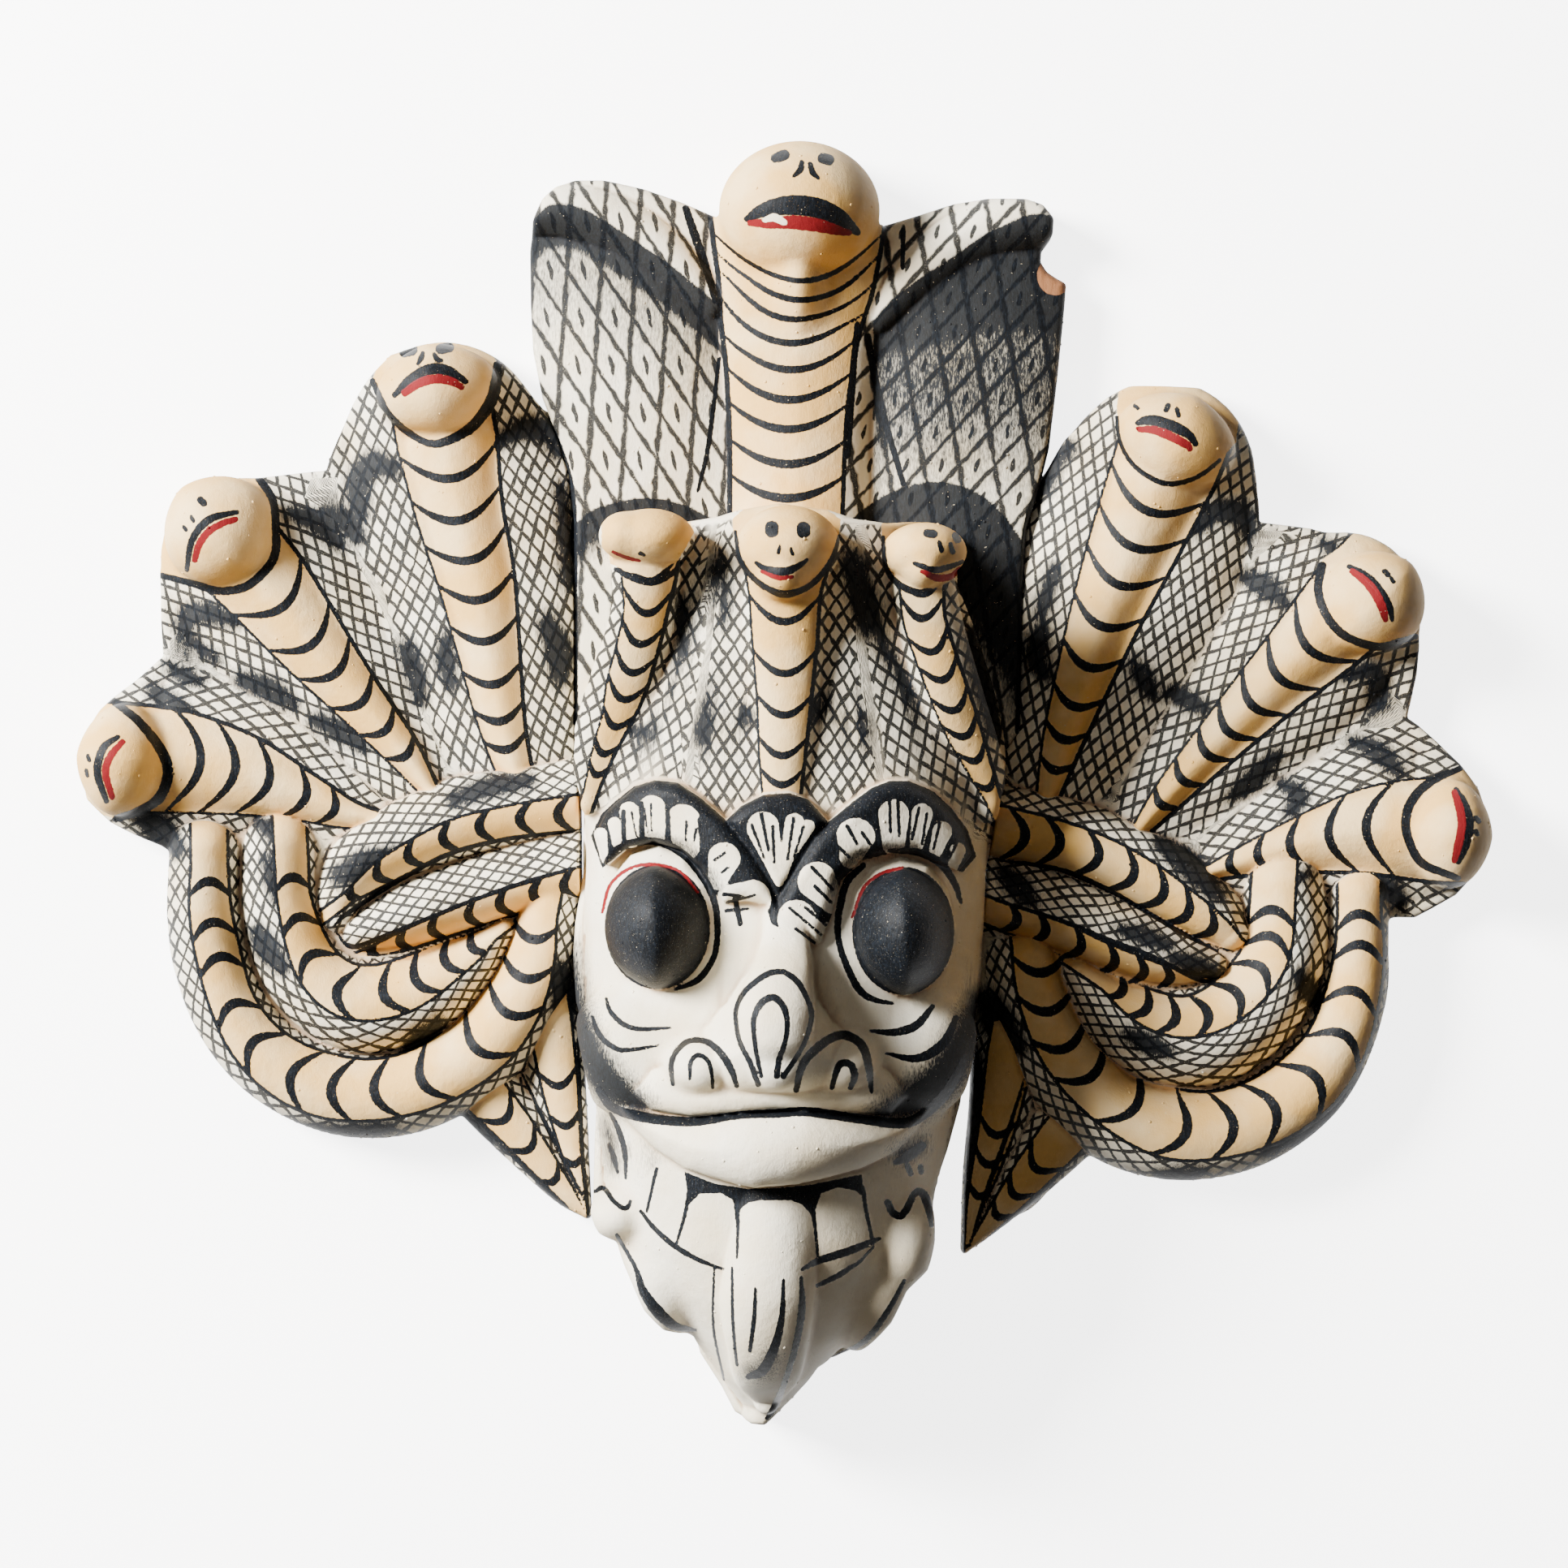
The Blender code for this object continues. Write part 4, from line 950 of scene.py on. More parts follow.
def paint_wing(paint, side):
    """Three cobras, the coiled bodies and the tails of one wing."""
    plan = WINGS[side]
    grounds = []
    for index in range(3):
        hood, neck = plan["hoods"][index], plan["necks"][index]
        forms = [body(hood, RISES["hoods"][1], *RISES["hoods"]), body(neck, RISES["necks"][1], *RISES["necks"], 1.6),
                 wing_head(plan, index)]
        grounds.append(np.min([form(*paint.points.T) for form in forms], axis=0))
    for group in ("loops", "tails"):
        for stations in plan[group]:
            grounds.append(body(stations, RISES[group][1], *RISES[group])(*paint.points.T))
    grounds = np.array(grounds)
    owns = []
    for index, ground in enumerate(grounds):
        others = np.delete(grounds, index, axis=0).min(axis=0)
        owns.append(np.minimum(others - ground, (9.0 if index < 3 else 2.5) - ground))
    bands = WING_BANDS[side]
    for index, stations in enumerate(plan["necks"]):
        paint.snake(stations, bands["necks"][index], owns[index], thick=4.8, edges=(1.8, 2.8))
    for index, stations in enumerate(WING_BELLIES[side]):
        toward = 1.0 if index < 2 else -1.0
        sag = (0.7, 0.7) if index < 2 else (0.8, 0.8)
        paint.snake(stations, bands["loops"][index], owns[3 + index], toward, sag, 5.3, (2.2, 2.2), (14.0, 24.0))
    for index, stations in enumerate(plan["tails"]):
        belly = [(x, y, half * 0.66) for x, y, half in stations]
        paint.snake(belly, bands["tails"][index], owns[7 + index], -1.0, (0.9, 0.9), 4.2, (2.0, 2.0), (14.0, 24.0))
    for line in WING_LINES[side]:
        paint.stroke("ink", line, 2.4)
    for stations in WING_SMUDGES[side]:
        paint.smudge(stations, 1.2, 12.0)
    heads = WING_HEADS[side]
    for outline in heads["tan"]:
        paint.fill("tan", outline, cover=True)
    for stations in heads["ink"]:
        paint.stroke("ink", stations, taper=1.0)
    for stations in heads["red"]:
        paint.stroke("red", [(x, y, half + LIP_PRESS) for x, y, half in stations], taper=1.0)


CREST_BELLY = [(968, 660, 69), (970, 552, 71), (971, 494, 74), (973, 440, 80), (975, 391, 88), (981, 337, 98),
               (983, 283, 106), (983, 262, 108)]
CREST_BANDS = [
    (985, 346, 0.55, 0.58, 2.6), (985, 370, 0.56, 0.58, 3.0), (985, 394, 0.56, 0.56, 3.0),
    (984, 423, 0.52, 0.54, 3.6), (983, 456, 0.5, 0.5, 3.8), (982, 493, 0.48, 0.48, 4.2),
    (981, 529, 0.44, 0.44, 4.4), (980, 572, 0.42, 0.42, 4.6), (978, 614, 0.4, 0.4, 4.8),
]
CREST_STROKES = [
    [(961, 193, 6.5), (966, 191, 6.5)], [(1014, 195, 6.5), (1021, 197, 6.5)], [(955, 195, 5), (961, 193, 6)],
    [(988, 200, 2.5), (986, 209, 3.5), (978, 217, 2)], [(998, 202, 2.5), (1001, 212, 3.5), (1008, 219, 2)],
    [(920, 270, 3), (938, 260, 8), (962, 254, 11), (986, 253, 12), (1012, 258, 12), (1036, 270, 10),
     (1056, 286, 4)],
    [(845, 257, 4), (856, 290, 5), (870, 330, 4.5), (881, 371, 3)],
    [(886, 442, 2), (873, 547, 2.6), (860, 605, 1.6)], [(1113, 283, 2.5), (1112, 330, 2)],
    [(1069, 415, 4), (1084, 494, 4), (1113, 596, 3)], [(1056, 400, 3), (1050, 470, 4), (1044, 560, 4)],
    [(668, 500, 1), (688, 550, 4), (702, 600, 5), (706, 660, 5), (706, 760, 5), (707, 900, 5)],
    [(1300, 500, 1), (1288, 580, 4), (1266, 650, 5), (1260, 760, 5), (1256, 900, 5)],
]
CREST_RED = [(924, 275, 3), (946, 275, 6), (975, 274, 8), (1005, 277, 8), (1028, 283, 6), (1046, 287, 3)]
CREST_GLINT = [(942, 271, 3), (954, 268, 5), (966, 274, 4)]
# Dark arcs and blotches painted on the hood. Below the arcs the dark is painted shade: the right arc widens over the
# lobe turned from the light, and on the left a grey smudge fades as painted shade.
CREST_SHADES = {  # edge line, how far it is solid at its two ends, how far it fades, and its strength
    "left": ([(648, 280), (662, 264), (680, 250), (715, 254), (754, 276), (790, 300), (829, 327), (856, 349),
              (886, 374)], (40, 46), 22, 1.0),
    "left grey smudge and painted shade": ([(648, 280), (662, 264), (680, 250), (715, 254), (754, 276), (790, 300), (829, 327),
                    (856, 349), (886, 374)], (70, 40), 120, 0.5),
    # the right arc, widening into painted shade away from the neck
    "right": ([(1076, 394), (1102, 366), (1124, 348), (1146, 333), (1177, 313), (1208, 291), (1243, 273),
               (1274, 262), (1312, 266)], (26, 130), 60, 1.0),
    "right painted shade": ([(1076, 394), (1102, 366), (1124, 348), (1146, 333), (1177, 313), (1208, 291), (1243, 273),
                     (1274, 262), (1312, 266)], (90, 230), 150, 0.72),
    "left low": ([(700, 652), (720, 634), (741, 622), (794, 612), (842, 620), (884, 642)], (26, 14), 36, 1.0),
    "right low": ([(1047, 642), (1062, 627), (1098, 605), (1137, 593), (1177, 595), (1208, 608), (1234, 630),
                   (1268, 676)], (40, 160), 90, 1.0),
}


def paint_crest(paint):
    """The big cobra: a wide lattice with leaf marks, arcs over both halves of the hood with painted shade fading below
    them, and a banded neck.
    """
    column, level = paint.px - 985, paint.py - 450
    left = column < 0
    paint.layers["scale_u"] = np.where(left, (column + 0.066 * level) / 42, (column - 0.17 * level) / 44)
    paint.layers["scale_v"] = np.where(left, (column - 0.65 * level) / 42, (column + 0.9 * level) / 44)
    keep_u, keep_v = paint.layers["scale_u"], paint.layers["scale_v"]
    wide = np.full(paint.px.shape, 3.0)
    paint.snake(CREST_BELLY, CREST_BANDS, wide, edges=(3.6, 3.0))
    paint.layers["scale_u"], paint.layers["scale_v"] = keep_u, keep_v
    paint.layers["lattice"] = np.ones(paint.px.shape)
    # the dark arcs and blotches, with painted shade fading below the arcs
    for edge, core, fade, strength in CREST_SHADES.values():
        paint.shade(edge, core, fade, strength)
    paint.fill("tan", [(886, 276), (890, 256), (897, 225), (920, 175), (990, 160), (1050, 175), (1078, 236),
                       (1084, 280), (1060, 300), (985, 310), (905, 300)], cover=True)
    for line in CREST_STROKES:
        paint.stroke("ink", line, 2.6, 1.0)
    paint.stroke("red", CREST_RED, taper=1.0)
    paint.leave(CREST_GLINT, ("ink", "red", "tan"))
    chip = 1.0 - np.hypot((paint.px - 1300) / 24.0, (paint.py - 340) / 26.0)
    paint.layers["bare"] = np.maximum(paint.layers["bare"], np.clip(chip * 6.0, 0.0, 1.0))


FOREHEAD = [(700, 1010), (741, 1000), (781, 966), (807, 958), (834, 962), (862, 980), (893, 1008), (941, 976),
            (972, 974), (996, 982), (1020, 1008), (1072, 970), (1096, 960), (1120, 960), (1150, 973),
            (1172, 993), (1192, 1020), (1240, 1060), (1270, 640), (1195, 640), (1110, 646), (1045, 642),
            (1020, 632), (912, 632), (890, 642), (850, 646), (740, 660), (690, 780)]
FOREHEAD_BELLIES = [
    ([(728, 975, 9), (744, 925, 14), (760, 885, 19), (772, 845, 25), (786, 795, 26), (795, 755, 27),
      (799, 715, 33), (800, 690, 36)],
     [(732, 954), (744, 929), (761, 897), (776, 864), (782, 830), (793, 795), (803, 757), (803, 716)]),
    ([(963, 985, 23), (964, 925, 29), (966, 868, 33), (967, 791, 40), (967, 734, 44), (968, 700, 52)],
     [(964, 967), (963, 931), (963, 881), (964, 830), (966, 766), (968, 732)]),
    ([(1224, 985, 10), (1206, 944, 16), (1187, 900, 22), (1168, 850, 24), (1150, 800, 25), (1138, 760, 26),
      (1136, 715, 28), (1136, 690, 32)],
     [(1214, 973), (1187, 944), (1168, 916), (1155, 883), (1142, 845), (1138, 807), (1132, 763), (1134, 732)]),
]
FOREHEAD_TAN = [
    [(741, 640), (741, 690), (765, 700), (800, 712), (836, 690), (856, 655), (840, 618), (770, 615)],
    [(902, 640), (906, 672), (925, 706), (950, 728), (968, 733), (990, 726), (1016, 703), (1032, 672),
     (1036, 640), (1000, 615), (930, 615)],
    [(1086, 645), (1088, 690), (1110, 722), (1137, 730), (1160, 722), (1186, 705), (1200, 670), (1180, 630),
     (1110, 630)],
]
FOREHEAD_SMUDGES = [
    [(884, 692, 9), (886, 730, 14), (892, 770, 9)], [(866, 900, 12), (880, 874, 17), (916, 884, 14)],
    [(1000, 880, 10), (1016, 870, 12), (1030, 886, 9)], [(1052, 912, 12), (1068, 884, 16), (1096, 872, 10)],
    [(1050, 690, 14), (1060, 730, 20), (1076, 780, 16)], [(782, 900, 7), (796, 906, 10), (806, 900, 6)],
    [(838, 740, 8), (844, 780, 10), (840, 820, 7)], [(1196, 780, 8), (1210, 830, 13), (1226, 900, 10)],
    [(1090, 800, 8), (1110, 840, 12), (1130, 890, 8)],
]
# Petals of the brows: base, tip and half widths there
PETAL_GAPS = [
    ((768, 1000), (769, 1038)), ((790, 990), (792, 1034)), ((822, 984), (824, 1036)), ((862, 1010), (868, 1060)),
]
PETALS = [
    (745, 1060, 4, 740, 1028, 8), (761, 1045, 5, 757, 1015, 8), (778, 1036, 9, 775, 1000, 12),
    (805, 1038, 14, 803, 997, 17), (847, 1044, 15, 841, 1013, 22), (884, 1084, 12, 892, 1058, 20),
    (900, 1106, 16, 926, 1108, 24), (960, 1086, 6, 940, 1020, 20), (964, 1080, 6, 979, 1014, 12),
    (968, 1066, 4, 996, 1018, 8), (1026, 1112, 14, 1007, 1086, 24), (1048, 1056, 14, 1054, 1032, 24),
    (1101, 1040, 14, 1101, 1004, 19), (1129, 1043, 8, 1136, 1003, 13), (1151, 1054, 7, 1161, 1024, 12),
    (1172, 1076, 5, 1180, 1048, 10), (1008, 1160, 20, 981, 1132, 23), (1036, 1150, 10, 1010, 1150, 16),
]
BROW_OUTLINES = ["brow left", "brow middle", "brow right"]
BROW_SMUDGES = [
    [(790, 1034, 5), (820, 1036, 7), (846, 1046, 9), (868, 1072, 11), (884, 1094, 8)],
    [(1024, 1096, 7), (1040, 1064, 10), (1062, 1050, 9), (1096, 1044, 6), (1130, 1046, 5), (1156, 1058, 4)],
]
FACE_SMUDGES = [
    [(706, 1170, 8), (711, 1230, 14), (724, 1290, 22), (750, 1335, 24), (790, 1362, 14)],
    [(1204, 1230, 12), (1190, 1280, 24), (1160, 1330, 28), (1120, 1358, 22), (1082, 1372, 10)],
    [(745, 1380, 5), (752, 1406, 9), (756, 1436, 7)], [(800, 1428, 5), (784, 1418, 5)],
    [(1110, 1420, 9), (1134, 1410, 8)], [(925, 1690, 6), (938, 1688, 8), (950, 1672, 6)],
]
FACE_STROKES = [
    # mouth line
    [(738, 1343, 4), (754, 1364, 5), (790, 1376, 6), (851, 1382, 5.5), (912, 1374, 4.5), (957, 1372, 5),
     (994, 1370, 5.5), (1055, 1378, 5.5), (1108, 1384, 6), (1134, 1376, 6), (1165, 1347, 6), (1190, 1302, 4)],
    # between the teeth
    [(849, 1470, 2.4), (843, 1500, 1.8), (834, 1531, 1.3)], [(908, 1484, 3.4), (909, 1512, 1.8), (908, 1550, 1)],
    [(1000, 1486, 3.4), (1004, 1510, 1.8), (1008, 1552, 1.3)],
    [(1063, 1464, 2.4), (1068, 1496, 1.8), (1075, 1528, 1.6)],
    [(809, 1440, 2), (803, 1466, 1.5), (797, 1493, 1.2)],
    # chin lines
    [(789, 1492, 1.5), (808, 1515, 2.6), (831, 1535, 3), (860, 1552, 2.6), (892, 1564, 1)],
    [(988, 1564, 1.5), (1010, 1553, 4), (1050, 1540, 4.5), (1074, 1530, 3), (1084, 1526, 1.5)],
    [(1007, 1584, 2), (1030, 1573, 3), (1048, 1562, 2.4), (1061, 1553, 1.5), (1076, 1536, 1)],
    # the fangs' curls
    [(733, 1468, 2), (744, 1464, 2.6), (757, 1481, 2.4), (771, 1489, 2.6), (777, 1480, 1.6)],
    [(750, 1410, 1.6), (756, 1425, 3), (761, 1445, 1.4)], [(752, 1372, 1.6), (762, 1392, 3), (770, 1420, 3), (771, 1452, 1.2)],
    [(1094, 1482, 4), (1100, 1494, 4), (1110, 1498, 4), (1118, 1488, 4), (1126, 1472, 3.6), (1134, 1468, 4),
     (1142, 1480, 5), (1148, 1510, 2)],
    [(1118, 1436, 3), (1122, 1446, 3)], [(1134, 1438, 3), (1135, 1444, 3)], [(1104, 1432, 3), (1120, 1424, 6), (1136, 1412, 5)],
    # tongue
    [(880, 1564, 0.9), (879, 1635, 1.2), (892, 1700, 0.9)], [(902, 1562, 1.2), (903, 1630, 1.6), (908, 1682, 1.4)],
    [(931, 1587, 1.4), (929, 1625, 2.4), (924, 1664, 2.0)],
    [(965, 1576, 1.4), (964, 1615, 3), (956, 1655, 5), (940, 1688, 6), (922, 1696, 3)],
    [(987, 1574, 1.6), (988, 1613, 4), (980, 1660, 3.4), (966, 1706, 3), (956, 1730, 4), (945, 1748, 2)],
    # jaw edges
    [(760, 1522, 2), (783, 1562, 2.4), (792, 1590, 5), (812, 1618, 7), (832, 1634, 5), (857, 1639, 1.5)],
    [(1114, 1578, 2), (1096, 1612, 3), (1066, 1652, 3), (1026, 1673, 1.5)],
    # cheeks
    [(747, 1230, 1.2), (752, 1246, 2.4), (768, 1262, 2.8), (789, 1268, 2.4), (828, 1266, 1)],
    [(730, 1253, 1.6), (738, 1274, 3), (752, 1288, 3), (770, 1294, 2.6), (812, 1288, 1)],
    [(1072, 1270, 1.2), (1100, 1272, 4), (1128, 1264, 5), (1149, 1240, 2.5)],
    [(1092, 1298, 1.2), (1130, 1304, 4.5), (1162, 1286, 5.5), (1178, 1254, 3)],
    # nose
    [(965, 1197, 3), (946, 1200, 3.4), (920, 1219, 3), (908, 1240, 2.4), (907, 1261, 2.4), (912, 1285, 2.6),
     (924, 1309, 3), (934, 1336, 3)],
    [(965, 1197, 3), (982, 1209, 3.4), (994, 1230, 2.8), (1000, 1250, 2.8), (994, 1278, 2.4), (982, 1302, 2.6),
     (965, 1326, 3)],
    [(938, 1326, 2), (932, 1298, 2.4), (929, 1274, 2.6), (929, 1254, 3.2), (938, 1236, 4), (953, 1229, 4),
     (965, 1240, 3.6), (970, 1261, 2.8), (967, 1285, 2.8), (960, 1305, 3.4), (957, 1326, 3.4)],
    [(829, 1336, 2), (827, 1312, 3), (834, 1295, 3), (848, 1283, 3), (869, 1283, 3.4), (886, 1295, 4),
     (900, 1316, 4), (908, 1338, 2.4)],
    [(850, 1329, 1.6), (851, 1309, 2.4), (860, 1300, 2.4), (872, 1307, 2.4), (877, 1323, 2), (878, 1340, 1.4)],
    [(981, 1343, 3), (989, 1312, 4.4), (1006, 1292, 5), (1027, 1278, 5), (1044, 1276, 5), (1062, 1288, 5),
     (1070, 1312, 4.4), (1074, 1345, 2)],
    [(1025, 1340, 2.4), (1031, 1319, 3.6), (1037, 1310, 4), (1048, 1312, 4), (1053, 1326, 4), (1048, 1340, 2.6)],
    # rims of the eyes
    [(744, 1066, 1.5), (754, 1051, 3), (772, 1040, 3.8), (796, 1036, 4.2), (820, 1040, 4.4), (846, 1056, 4.8),
     (867, 1082, 4.6), (880, 1110, 3.8), (884, 1140, 3.4), (880, 1178, 3.2), (860, 1207, 3.4), (832, 1219, 1.5)],
    [(1064, 1066, 3), (1044, 1086, 4), (1036, 1112, 4), (1032, 1143, 3.6), (1036, 1170, 3.6), (1046, 1196, 3.8),
     (1060, 1221, 4), (1078, 1232, 3), (1100, 1236, 1.6)],
    [(1096, 1048, 2), (1130, 1050, 4), (1158, 1063, 4.6), (1176, 1088, 3.6), (1184, 1112, 1.8)],
    # the small cobras
    [(758, 701, 2), (780, 712, 4), (804, 717, 4.4), (826, 708, 3), (840, 692, 1.6)],
    [(906, 655, 1.6), (912, 690, 2.6), (930, 714, 3.2), (952, 728, 3.6), (972, 731, 3.6), (994, 724, 3.4),
     (1014, 706, 3), (1028, 682, 2.4), (1034, 660, 1.4)],
    [(1088, 662, 2), (1092, 700, 2.6), (1108, 720, 3.6), (1130, 730, 4), (1146, 728, 3)],
    [(951, 650, 8), (951, 654, 8)], [(990, 651, 8), (990, 655, 8)],
    [(961, 672, 1.5), (959, 681, 1.8)], [(974, 676, 1.5), (977, 683, 1.6)],
    [(931, 693, 1.6), (946, 702, 4.2), (968, 704, 5), (986, 696, 3), (994, 690, 1.6)],
    [(1143, 657, 5), (1150, 658, 5)], [(1177, 660, 4), (1180, 665, 4)],
    [(1157, 668, 2), (1160, 678, 3)], [(1171, 670, 2), (1174, 680, 3)],
    [(1127, 694, 2.4), (1150, 702, 3.6), (1168, 699, 3), (1186, 692, 2)],
    [(789, 682, 2.4), (794, 684, 1.6)],
    # strokes in the petals
    [(846, 1012, 1.5), (845, 1036, 1)], [(858, 1022, 1.5), (854, 1040, 1)], [(880, 1060, 1.4), (894, 1050, 1.2)],
    [(888, 1076, 1.4), (898, 1068, 1.2)], [(892, 1102, 2), (914, 1104, 1.2)], [(896, 1112, 1.5), (930, 1103, 1.2)],
    [(894, 1122, 2), (922, 1120, 1.2)], [(906, 1108, 3), (912, 1138, 3)], [(938, 1004, 2), (947, 1048, 1.4)],
    [(926, 1016, 1.6), (942, 1058, 1)], [(952, 1018, 1.8), (954, 1062, 1.2)], [(978, 1008, 1.8), (970, 1060, 1.2)],
    [(990, 1018, 1.5), (978, 1056, 1)], [(1000, 1068, 2), (1026, 1096, 1.4)], [(1004, 1092, 2), (1024, 1112, 1.4)],
    [(1044, 1018, 2), (1056, 1040, 1.4)], [(1062, 1026, 2), (1072, 1040, 1.4)], [(1034, 1044, 2), (1046, 1056, 1.4)],
    [(1096, 986, 1.6), (1097, 1026, 1.4)], [(1106, 986, 1.8), (1108, 1030, 1.4)], [(1132, 996, 1.6), (1124, 1034, 1.2)],
    [(1142, 1002, 1.4), (1136, 1040, 1)], [(1158, 1014, 1.4), (1150, 1046, 1)], [(1180, 1036, 1.4), (1170, 1058, 1)],
    [(972, 1118, 1.6), (1012, 1152, 1.2)], [(992, 1118, 1.6), (1018, 1140, 1.2)], [(980, 1144, 1.6), (1004, 1162, 1.2)],
    [(802, 990, 0.9), (803, 1024, 0.6)], [(778, 1000, 0.8), (784, 1030, 0.6)], [(794, 996, 0.8), (798, 1026, 0.5)],
]
MOUTH_DARK = [(843, 1443), (879, 1458), (923, 1465), (965, 1463), (997, 1460), (1062, 1447), (1065, 1476),
              (1054, 1467), (1032, 1463), (1012, 1470), (1003, 1495), (998, 1495), (988, 1484), (975, 1479),
              (937, 1479), (922, 1482), (911, 1491), (906, 1489), (902, 1478), (888, 1470), (862, 1471),
              (849, 1484)]
FACE_RED = [
    [(742, 1124, 1.3), (752, 1090, 1.6), (776, 1070, 1.6), (806, 1065, 1.6), (838, 1074, 1.2), (860, 1100, 1)],
    [(1050, 1130, 1.2), (1064, 1094, 1.5), (1086, 1076, 1.5), (1112, 1069, 1.2)],
    [(938, 704, 1.4), (958, 712, 2.4), (976, 711, 1.8)], [(1136, 704, 2), (1154, 712, 4), (1172, 710, 3.4), (1182, 700, 1.6)],
    [(755, 680, 1.4), (772, 687, 2), (788, 691, 1.4)],
]


def paint_face(paint):
    """The lattice and small cobras of the forehead, brows of petals, dark eyes and the strokes of the face."""
    lines = [smooth_line(stations) for stations, _ in FOREHEAD_BELLIES]
    reach = []
    for line in lines:
        _, _, gap, (half,) = along(line, paint.px, paint.py)
        reach.append((gap - half) * PIXEL)
    reach = np.array(reach)
    ground = -polygon_depth(FOREHEAD, paint.px, paint.py) * PIXEL
    for index, (stations, bands) in enumerate(FOREHEAD_BELLIES):
        others = np.delete(reach, index, axis=0).min(axis=0)
        own = np.minimum(others - reach[index], ground)
        paint.snake(stations, bands, own, sag=(0.75, 0.75) if index == 1 else (1.0, 1.0), thick=4.0,
                    edges=(1.6, 2.6), cell=(18.0, 28.0))
    lattice = paint.layers["lattice"]
    paint.layers["lattice"] = lattice * np.clip(ground / 0.8, 0.0, 1.0)
    for stations in FOREHEAD_SMUDGES:
        paint.smudge(stations, 1.2, 11.0)
    for outline in FOREHEAD_TAN:
        paint.fill("tan", outline, cover=True)
    for name in BROW_OUTLINES:
        paint.fill("ink", PILLOWS[name][0])
    for x, y, half, tip_x, tip_y, tip_half in PETALS:
        paint.leave([(x, y, half), (tip_x, tip_y, tip_half)])
    for top, foot in PETAL_GAPS:
        paint.stroke("ink", [top, foot], 2.6)
    for stations in FACE_SMUDGES:
        paint.smudge(stations, 1.0, 17.0)
    for stations in BROW_SMUDGES:
        paint.smudge(stations, 0.6, 7.0)
    for ring in EYE_RINGS.values():
        shape = smooth_line(ring + ring[:1], 4)[:-1]
        inside = -polygon_depth(shape, paint.px, paint.py) * PIXEL
        paint.layers["ink"] = np.where(inside > -1.5, np.minimum(paint.layers["ink"], -inside), paint.layers["ink"])
        paint.layers["smudge_and_shade"] *= np.clip(0.5 - inside, 0.0, 1.0)
    paint.fill("ink", MOUTH_DARK)
    for stations in FACE_STROKES:
        paint.stroke("ink", stations, taper=1.0)
    for x, y, half_x, half_y in EYES.values():
        away = np.hypot((paint.px - x) / half_x, (paint.py - y) / half_y)
        paint.layers["ink"] = np.maximum(paint.layers["ink"], (1.0 - away) * half_x * PIXEL)
    for stations in FACE_RED:
        paint.stroke("red", stations, taper=1.0)


def linear(code):
    """A colour of six hexadecimal digits, as linear red, green and blue."""
    shares = [int(code[i:i + 2], 16) / 255.0 for i in (0, 2, 4)]
    return tuple(c / 12.92 if c <= 0.04045 else ((c + 0.055) / 1.055) ** 2.4 for c in shares)


class NodeWriter:
    """Adds nodes to a tree and links their inputs."""

    def __init__(self, tree):
        self.tree = tree

    def add(self, kind, inputs=None, **settings):
        """Add a node; an input given as a socket is linked, any other value is set."""
        node = self.tree.nodes.new(kind)
        for name, value in settings.items():
            setattr(node, name, value)
        for name, value in (inputs or {}).items():
            if isinstance(value, bpy.types.NodeSocket):
                self.tree.links.new(value, node.inputs[name])
            else:
                node.inputs[name].default_value = value
        return node

    def math(self, operation, *values):
        """One arithmetic step."""
        return self.add("ShaderNodeMath", dict(enumerate(values)), operation=operation).outputs[0]

    def layer(self, name):
        """A paint layer of the mesh."""
        return self.add("ShaderNodeAttribute", attribute_name=name).outputs["Fac"]

    def noise(self, place, scale, detail=2.0, rough=0.5):
        """Noise from 0 to 1 at a place."""
        inputs = {"Vector": place, "Scale": scale, "Detail": detail, "Roughness": rough}
        return self.add("ShaderNodeTexNoise", inputs).outputs["Fac"]

    def ramp(self, value, low, high, start=0.0, end=1.0):
        """Bring a value from one range to another, stopped at its ends."""
        inputs = {"Value": value, "From Min": low, "From Max": high, "To Min": start, "To Max": end}
        return self.add("ShaderNodeMapRange", inputs).outputs["Result"]

    def mix(self, share, below, above):
        """Lay one colour over another."""
        node = self.add("ShaderNodeMix", data_type="RGBA")
        for socket, value in ((node.inputs[0], share), (node.inputs[6], below), (node.inputs[7], above)):
            if isinstance(value, bpy.types.NodeSocket):
                self.tree.links.new(value, socket)
            else:
                socket.default_value = value
        return node.outputs[2]


def new_material(name, roughness, specular):
    """A material with a Principled BSDF, and a writer for its nodes."""
    material = bpy.data.materials.new(name)
    material.use_nodes = True
    shader = material.node_tree.nodes["Principled BSDF"]
    shader.inputs["Roughness"].default_value = roughness
    shader.inputs["Specular IOR Level"].default_value = specular
    return material, shader, NodeWriter(material.node_tree)


